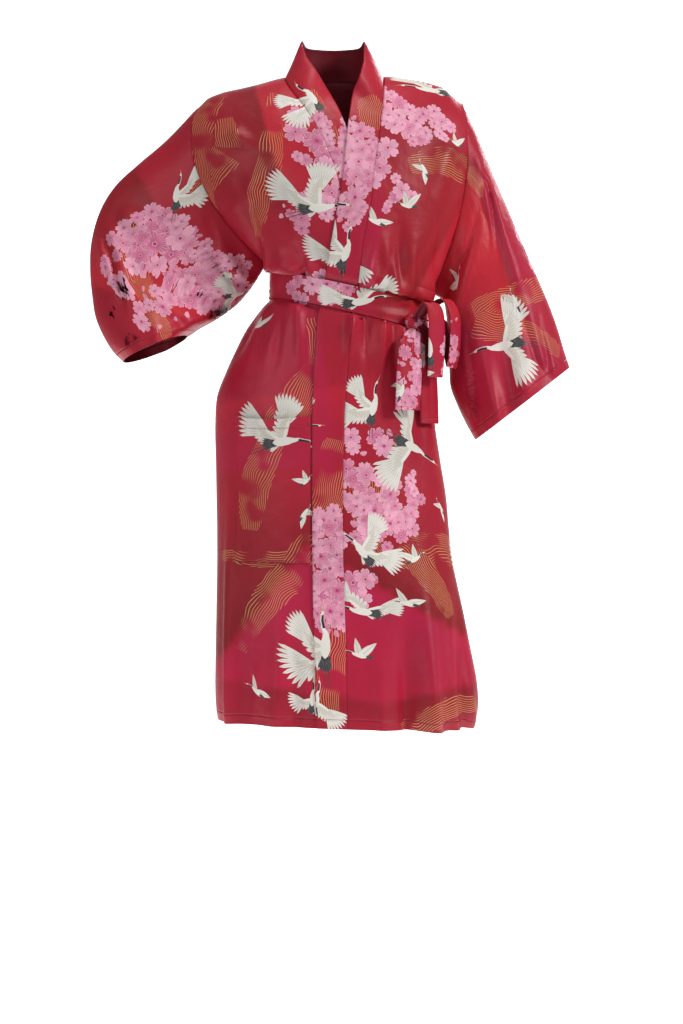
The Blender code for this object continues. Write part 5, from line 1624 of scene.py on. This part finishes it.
def satin(name, reverse=False):
    """Printed satin: the print's colours, its fine drawing, a weave and a soft lustre."""
    skin = bpy.data.materials.new(name)
    skin.use_nodes = True
    tree = skin.node_tree
    shader = tree.nodes["Principled BSDF"]
    printed = node(tree, "ShaderNodeAttribute", attribute_name="print").outputs["Color"]
    cut = node(tree, "ShaderNodeUVMap", uv_map="cut").outputs["UV"]
    printed = drawn(tree, printed, cut)
    cloudy = node(tree, "ShaderNodeTexNoise", [("Vector", cut), ("Scale", 9.0), ("Detail", 2.0)])
    shade = node(tree, "ShaderNodeMapRange", [
        ("Value", cloudy.outputs["Fac"]), ("From Min", 0.3), ("From Max", 0.7),
        ("To Min", 0.90), ("To Max", 1.08)]).outputs["Result"]
    toned = node(tree, "ShaderNodeVectorMath", [(0, printed), ("Scale", shade)],
                 operation="SCALE").outputs["Vector"]
    weave = node(tree, "ShaderNodeTexNoise", [("Vector", cut), ("Scale", 1400.0), ("Detail", 1.0)])
    crumple = node(tree, "ShaderNodeTexNoise", [("Vector", cut), ("Scale", 42.0), ("Detail", 2.5)])
    soft = node(tree, "ShaderNodeBump", [("Height", crumple.outputs["Fac"]), ("Strength", 0.16),
                                         ("Distance", 0.010)])
    bump = node(tree, "ShaderNodeBump", [("Height", weave.outputs["Fac"]), ("Strength", 0.18),
                                         ("Distance", 0.0003), ("Normal", soft.outputs["Normal"])])
    edges = node(tree, "ShaderNodeSeparateXYZ", [
        ("Vector", node(tree, "ShaderNodeUVMap", uv_map="edge").outputs["UV"])])
    hem = maths(tree, "SUBTRACT", 1.0, ramp(tree, edges.outputs["X"], HEM - 0.0012, HEM + 0.0012))
    seam = maths(tree, "SUBTRACT", 1.0, ramp(tree, edges.outputs["Y"], 0.0, 0.0022))
    groove = maths(tree, "SUBTRACT", 1.0, ramp(tree, maths(tree, "ABSOLUTE", maths(
        tree, "SUBTRACT", edges.outputs["X"], HEM)), 0.0, 0.0022))
    pucker = node(tree, "ShaderNodeTexNoise", [("Vector", cut), ("Scale", 130.0), ("Detail", 1.0)])
    gather = maths(tree, "MULTIPLY", pucker.outputs["Fac"], maths(tree, "SUBTRACT", 1.0, ramp(
        tree, maths(tree, "ABSOLUTE", maths(tree, "SUBTRACT", edges.outputs["X"], HEM)), 0.0, 0.010)))
    height = maths(tree, "SUBTRACT", maths(tree, "ADD", hem, maths(tree, "MULTIPLY", 1.2, gather)),
                   maths(tree, "ADD", maths(tree, "MULTIPLY", 1.6, groove), maths(tree, "MULTIPLY", 2.2, seam)))
    bump = node(tree, "ShaderNodeBump", [("Height", height), ("Strength", 1.0),
                                         ("Distance", 0.0004), ("Normal", bump.outputs["Normal"])])
    if reverse:
        toned = node(tree, "ShaderNodeVectorMath", [(0, toned), (1, (0.42, 0.50, 0.48))],
                     operation="MULTIPLY").outputs["Vector"]
    tree.links.new(toned, shader.inputs["Base Color"])
    tree.links.new(bump.outputs["Normal"], shader.inputs["Normal"])
    shader.inputs["Roughness"].default_value = 0.58 if reverse else 0.44
    shader.inputs["Specular IOR Level"].default_value = 0.30
    shader.inputs["Sheen Weight"].default_value = 0.02
    shader.inputs["Sheen Roughness"].default_value = 0.4
    shader.inputs["Sheen Tint"].default_value = (1.0, 0.55, 0.62, 1.0)
    return skin


def sewing_thread():
    """Twisted crimson thread."""
    skin = bpy.data.materials.new("sewing_thread")
    skin.use_nodes = True
    tree = skin.node_tree
    shader = tree.nodes["Principled BSDF"]
    seat = node(tree, "ShaderNodeTexCoord").outputs["Object"]
    twist = node(tree, "ShaderNodeTexNoise", [("Vector", seat), ("Scale", 2400.0), ("Detail", 1.0)])
    shade = node(tree, "ShaderNodeMix", data_type="RGBA")
    tree.links.new(twist.outputs["Fac"], shade.inputs["Factor"])
    shade.inputs[6].default_value = (*THREAD_DARK, 1.0)
    shade.inputs[7].default_value = (*THREAD_PALE, 1.0)
    bump = node(tree, "ShaderNodeBump", [("Height", twist.outputs["Fac"]), ("Strength", 0.5),
                                         ("Distance", 0.0002)])
    tree.links.new(shade.outputs[2], shader.inputs["Base Color"])
    tree.links.new(bump.outputs["Normal"], shader.inputs["Normal"])
    shader.inputs["Roughness"].default_value = 0.55
    return skin


def stitching(thread):
    """Node tree that sets stitches along a line, each lying along it and flat on the cloth."""
    tree = bpy.data.node_groups.new("stitching", "GeometryNodeTree")
    tree.interface.new_socket("Line", in_out="INPUT", socket_type="NodeSocketGeometry")
    for name in ("Pitch", "Length", "Width", "Height"):
        tree.interface.new_socket(name, in_out="INPUT", socket_type="NodeSocketFloat")
    tree.interface.new_socket("Stitches", in_out="OUTPUT", socket_type="NodeSocketGeometry")
    sizes = node(tree, "NodeGroupInput").outputs
    line = node(tree, "GeometryNodeMeshToCurve", [("Mesh", sizes["Line"])]).outputs["Curve"]
    places = node(tree, "GeometryNodeResampleCurve", [("Curve", line), ("Length", sizes["Pitch"])],
                  mode="LENGTH").outputs["Curve"]
    grain = node(tree, "GeometryNodeMeshIcoSphere", [("Radius", 0.5), ("Subdivisions", 1)])
    size = node(tree, "ShaderNodeCombineXYZ", [
        ("X", sizes["Length"]), ("Y", sizes["Width"]), ("Z", sizes["Height"])])
    way = node(tree, "GeometryNodeInputTangent").outputs["Tangent"]
    out = node(tree, "GeometryNodeInputNamedAttribute", [("Name", "out")],
               data_type="FLOAT_VECTOR").outputs["Attribute"]
    lain = node(tree, "FunctionNodeAlignRotationToVector", [("Vector", way)], axis="X")
    flat = node(tree, "FunctionNodeAlignRotationToVector", [
        ("Rotation", lain.outputs["Rotation"]), ("Vector", out)], axis="Z", pivot_axis="X")
    sewn = node(tree, "GeometryNodeInstanceOnPoints", [
        ("Points", places), ("Instance", grain.outputs["Mesh"]),
        ("Rotation", flat.outputs["Rotation"]), ("Scale", size.outputs["Vector"])])
    whole = node(tree, "GeometryNodeRealizeInstances", [("Geometry", sewn.outputs["Instances"])])
    skin = node(tree, "GeometryNodeSetMaterial", [
        ("Geometry", whole.outputs["Geometry"]), ("Material", thread)])
    node(tree, "NodeGroupOutput", [("Stitches", skin.outputs["Geometry"])])
    return tree


def sewn(panel, tree):
    """All stitches of one piece, as a plain mesh, or nothing where it has none."""
    if panel.name not in STITCHED:
        return []
    points, outs, edges = [], [], []
    for edge, inset in STITCHED[panel.name]:
        line, normals = panel.line_at(edge, inset)
        first = len(points)
        points += (line + normals * 0.3 * STITCH_HEIGHT).tolist()
        outs += normals.tolist()
        edges += [(k, k + 1) for k in range(first, len(points) - 1)]
    mesh = bpy.data.meshes.new("line")
    mesh.from_pydata(points, edges, [])
    layer = mesh.attributes.new("out", "FLOAT_VECTOR", "POINT")
    layer.data.foreach_set("vector", np.array(outs, np.float32).reshape(-1))
    line = place("line", mesh)
    modifier = line.modifiers.new("stitching", "NODES")
    modifier.node_group = tree
    sizes = {"Pitch": STITCH_PITCH, "Length": STITCH_LENGTH, "Width": STITCH_WIDTH,
             "Height": STITCH_HEIGHT}
    for socket in tree.interface.items_tree:
        if socket.name in sizes:
            modifier[socket.identifier] = sizes[socket.name]
    graph = bpy.context.evaluated_depsgraph_get()
    made = bpy.data.meshes.new_from_object(line.evaluated_get(graph))
    bpy.data.objects.remove(line)
    made.shade_smooth()
    made = place(panel.name + "_stitches", made)
    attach(made, "root")
    return [made]


def lit(name):
    """White paper that shines evenly."""
    paper = bpy.data.materials.new(name)
    paper.use_nodes = True
    shader = paper.node_tree.nodes["Principled BSDF"]
    shader.inputs["Base Color"].default_value = (0.9, 0.9, 0.9, 1.0)
    shader.inputs["Emission Color"].default_value = (1.0, 1.0, 1.0, 1.0)
    shader.inputs["Emission Strength"].default_value = 0.95
    return paper


def place(name, mesh):
    made = bpy.data.objects.new(name, mesh)
    bpy.context.scene.collection.objects.link(made)
    return made


def lamp(name, seat, look, size, energy, colour=(1.0, 1.0, 1.0)):
    light = bpy.data.lights.new(name, "AREA")
    light.shape, light.size, light.energy, light.color = "SQUARE", size, energy, colour
    made = place(name, light)
    made.location = seat
    made.rotation_euler = (Vector(look) - Vector(seat)).to_track_quat("-Z", "Y").to_euler()


def studio():
    """White sweep, even high key light and the level camera of the picture."""
    profile = [(-1.0, -1.48), (4.6, -1.48)]
    profile += [(4.6 + 1.5 * math.sin(a), 0.02 - 1.5 * math.cos(a))
                for a in np.linspace(0.05, math.pi / 2, 14)]
    profile.append((6.1, 5.0))
    verts = [(x, y, z) for y, z in profile for x in (-2.6, 2.6)]
    faces = [(2 * k, 2 * k + 1, 2 * k + 3, 2 * k + 2) for k in range(len(profile) - 1)]
    sweep = bpy.data.meshes.new("sweep")
    sweep.from_pydata(verts, [], faces)
    sweep.shade_smooth()
    made = place("sweep", sweep)
    sweep.materials.append(lit("sweep_paper"))
    world = bpy.data.worlds.new("studio")
    world.use_nodes = True
    world.node_tree.nodes["Background"].inputs["Color"].default_value = (1, 1, 1, 1)
    world.node_tree.nodes["Background"].inputs["Strength"].default_value = 0.26
    bpy.context.scene.world = world
    lamp("key", (3.2, -2.0, 1.5), (0, 0, -0.5), 1.0, 92)
    lamp("fill", (-2.4, -3.0, 0.6), (0, 0, -0.6), 1.4, 26)
    lamp("above", (0.0, -0.6, 2.6), (0, 0, -0.4), 1.0, 30)
    lamp("rear", (1.6, 3.0, 1.4), (0, 0, -0.5), 1.2, 60)
    lens = bpy.data.cameras.new("camera")
    lens.sensor_fit, lens.sensor_height, lens.lens = "VERTICAL", 36.0, 85.0
    camera = place("camera", lens)
    camera.location = CAMERA
    camera.rotation_euler = (math.pi / 2, 0.0, 0.0)
    bpy.context.scene.camera = camera
    bpy.context.scene.view_settings.view_transform = "Standard"


def knot_mesh():
    """Lump of the knot with wrapped folds, as a thin shell's outer form."""
    middle, turn = knot_middle()
    grid = []
    for i in range(KNOT_FINE + 1):
        lift = math.pi * (i / KNOT_FINE - 0.5)
        line = []
        for j in range(2 * KNOT_FINE + 1):
            way = math.pi * j / KNOT_FINE
            body = Vector((math.cos(lift) * math.cos(way) * KNOT_SIZE[0] * 0.5,
                           math.cos(lift) * math.sin(way) * KNOT_SIZE[1] * 0.5,
                           math.sin(lift) * KNOT_SIZE[2] * 0.5))
            wrap = math.sin(body.x * 300.0 + body.z * 160.0) * 0.03
            body *= 1.0 + wrap * math.cos(lift)
            body.rotate(Euler((0.0, 0.0, turn)))
            line.append(middle + body)
        grid.append(line)
    return grid


UNDER = UNDER._replace(folds=all_folds(UNDER_FOLDS, UNDER_CREASES))
OVER = OVER._replace(folds=all_folds(OVER_FOLDS, OVER_CREASES))
BACK_FOLDS = all_folds(BACK_FOLDS, BACK_CREASES)


def make_panels():
    under, over = front_grid(UNDER), front_grid(OVER)
    back, neck_start, neck_count = back_grid()
    neck = back[0][neck_start:neck_start + neck_count + 1]
    band = band_grid(under, over, neck)
    return {
        "front_right": Panel("front_right", under, -1),
        "front_left": Panel("front_left", over, -1),
        "back_panel": Panel("back_panel", back, 1),
        "neckband": Panel("neckband", band, 1, wall=0.0016),
        "sleeve_right": Panel("sleeve_right", sleeve_grid(HOLE_RIGHT, SLEEVE_RIGHT, all_folds(SLEEVE_RIGHT_FOLDS, SLEEVE_RIGHT_CREASES)), -1, closed=True),
        "sleeve_left": Panel("sleeve_left", sleeve_grid(HOLE_LEFT, SLEEVE_LEFT, all_folds(SLEEVE_LEFT_FOLDS, SLEEVE_LEFT_CREASES)), 1, closed=True),
        "pocket": Panel("pocket", pocket_grid(), -1, sink=0.0003),
        "sash": Panel("sash", sash_grid(), -1, closed=True, wall=0.0016, sink=0.0),
        "bow_knot": Panel("bow_knot", knot_mesh(), 1, closed=True, wall=0.0016, sink=0.0),
        "bow_tail_front": Panel("bow_tail_front", ribbon_grid((-0.1, -0.5, -1.0), TAIL_FRONT, GATHERS_TAIL_FRONT, press=TAIL_PRESS), -1, wall=0.0014),
        "bow_tail_rear": Panel("bow_tail_rear", ribbon_grid((0.6, 0.1, -1.0), TAIL_REAR, GATHERS_TAIL_REAR), -1, wall=0.0014),
        "bow_loop_inner": Panel("bow_loop_inner", ribbon_grid((0.4, -1.0, 0.6), LOOP_INNER, GATHERS_LOOP_INNER, (0.6, -1.0, -0.5)), -1, wall=0.0014),
        "bow_loop_outer": Panel("bow_loop_outer", ribbon_grid((1.0, -0.1, 0.7), LOOP_OUTER, GATHERS_LOOP_OUTER, (1.0, 0.2, -0.3)), -1, wall=0.0014),
    }


def main():
    studio()
    face, reverse = satin("satin_face"), satin("satin_reverse", reverse=True)
    tree = stitching(sewing_thread())
    for name, panel in make_panels().items():
        motifs = printed(panel)
        mesh = panel.mesh(motifs)
        mesh.materials.append(face)
        mesh.materials.append(reverse)
        made = place(name + "_cloth", mesh)
        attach(made, "root")
        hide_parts(name)
        cut = panel.flat.reshape(-1, 2)
        size = KNOT_STRIP if name == "bow_knot" else cut.max(axis=0) - cut.min(axis=0)
        cloth = min(panel.cloth(), 0.999 * size[0] * size[1])
        sewn(panel, tree)
        print("PIECE", name, "tris", len(mesh.polygons), "cut", np.round(size, 4), "area", round(float(cloth), 4), "motifs", len(motifs))


main()
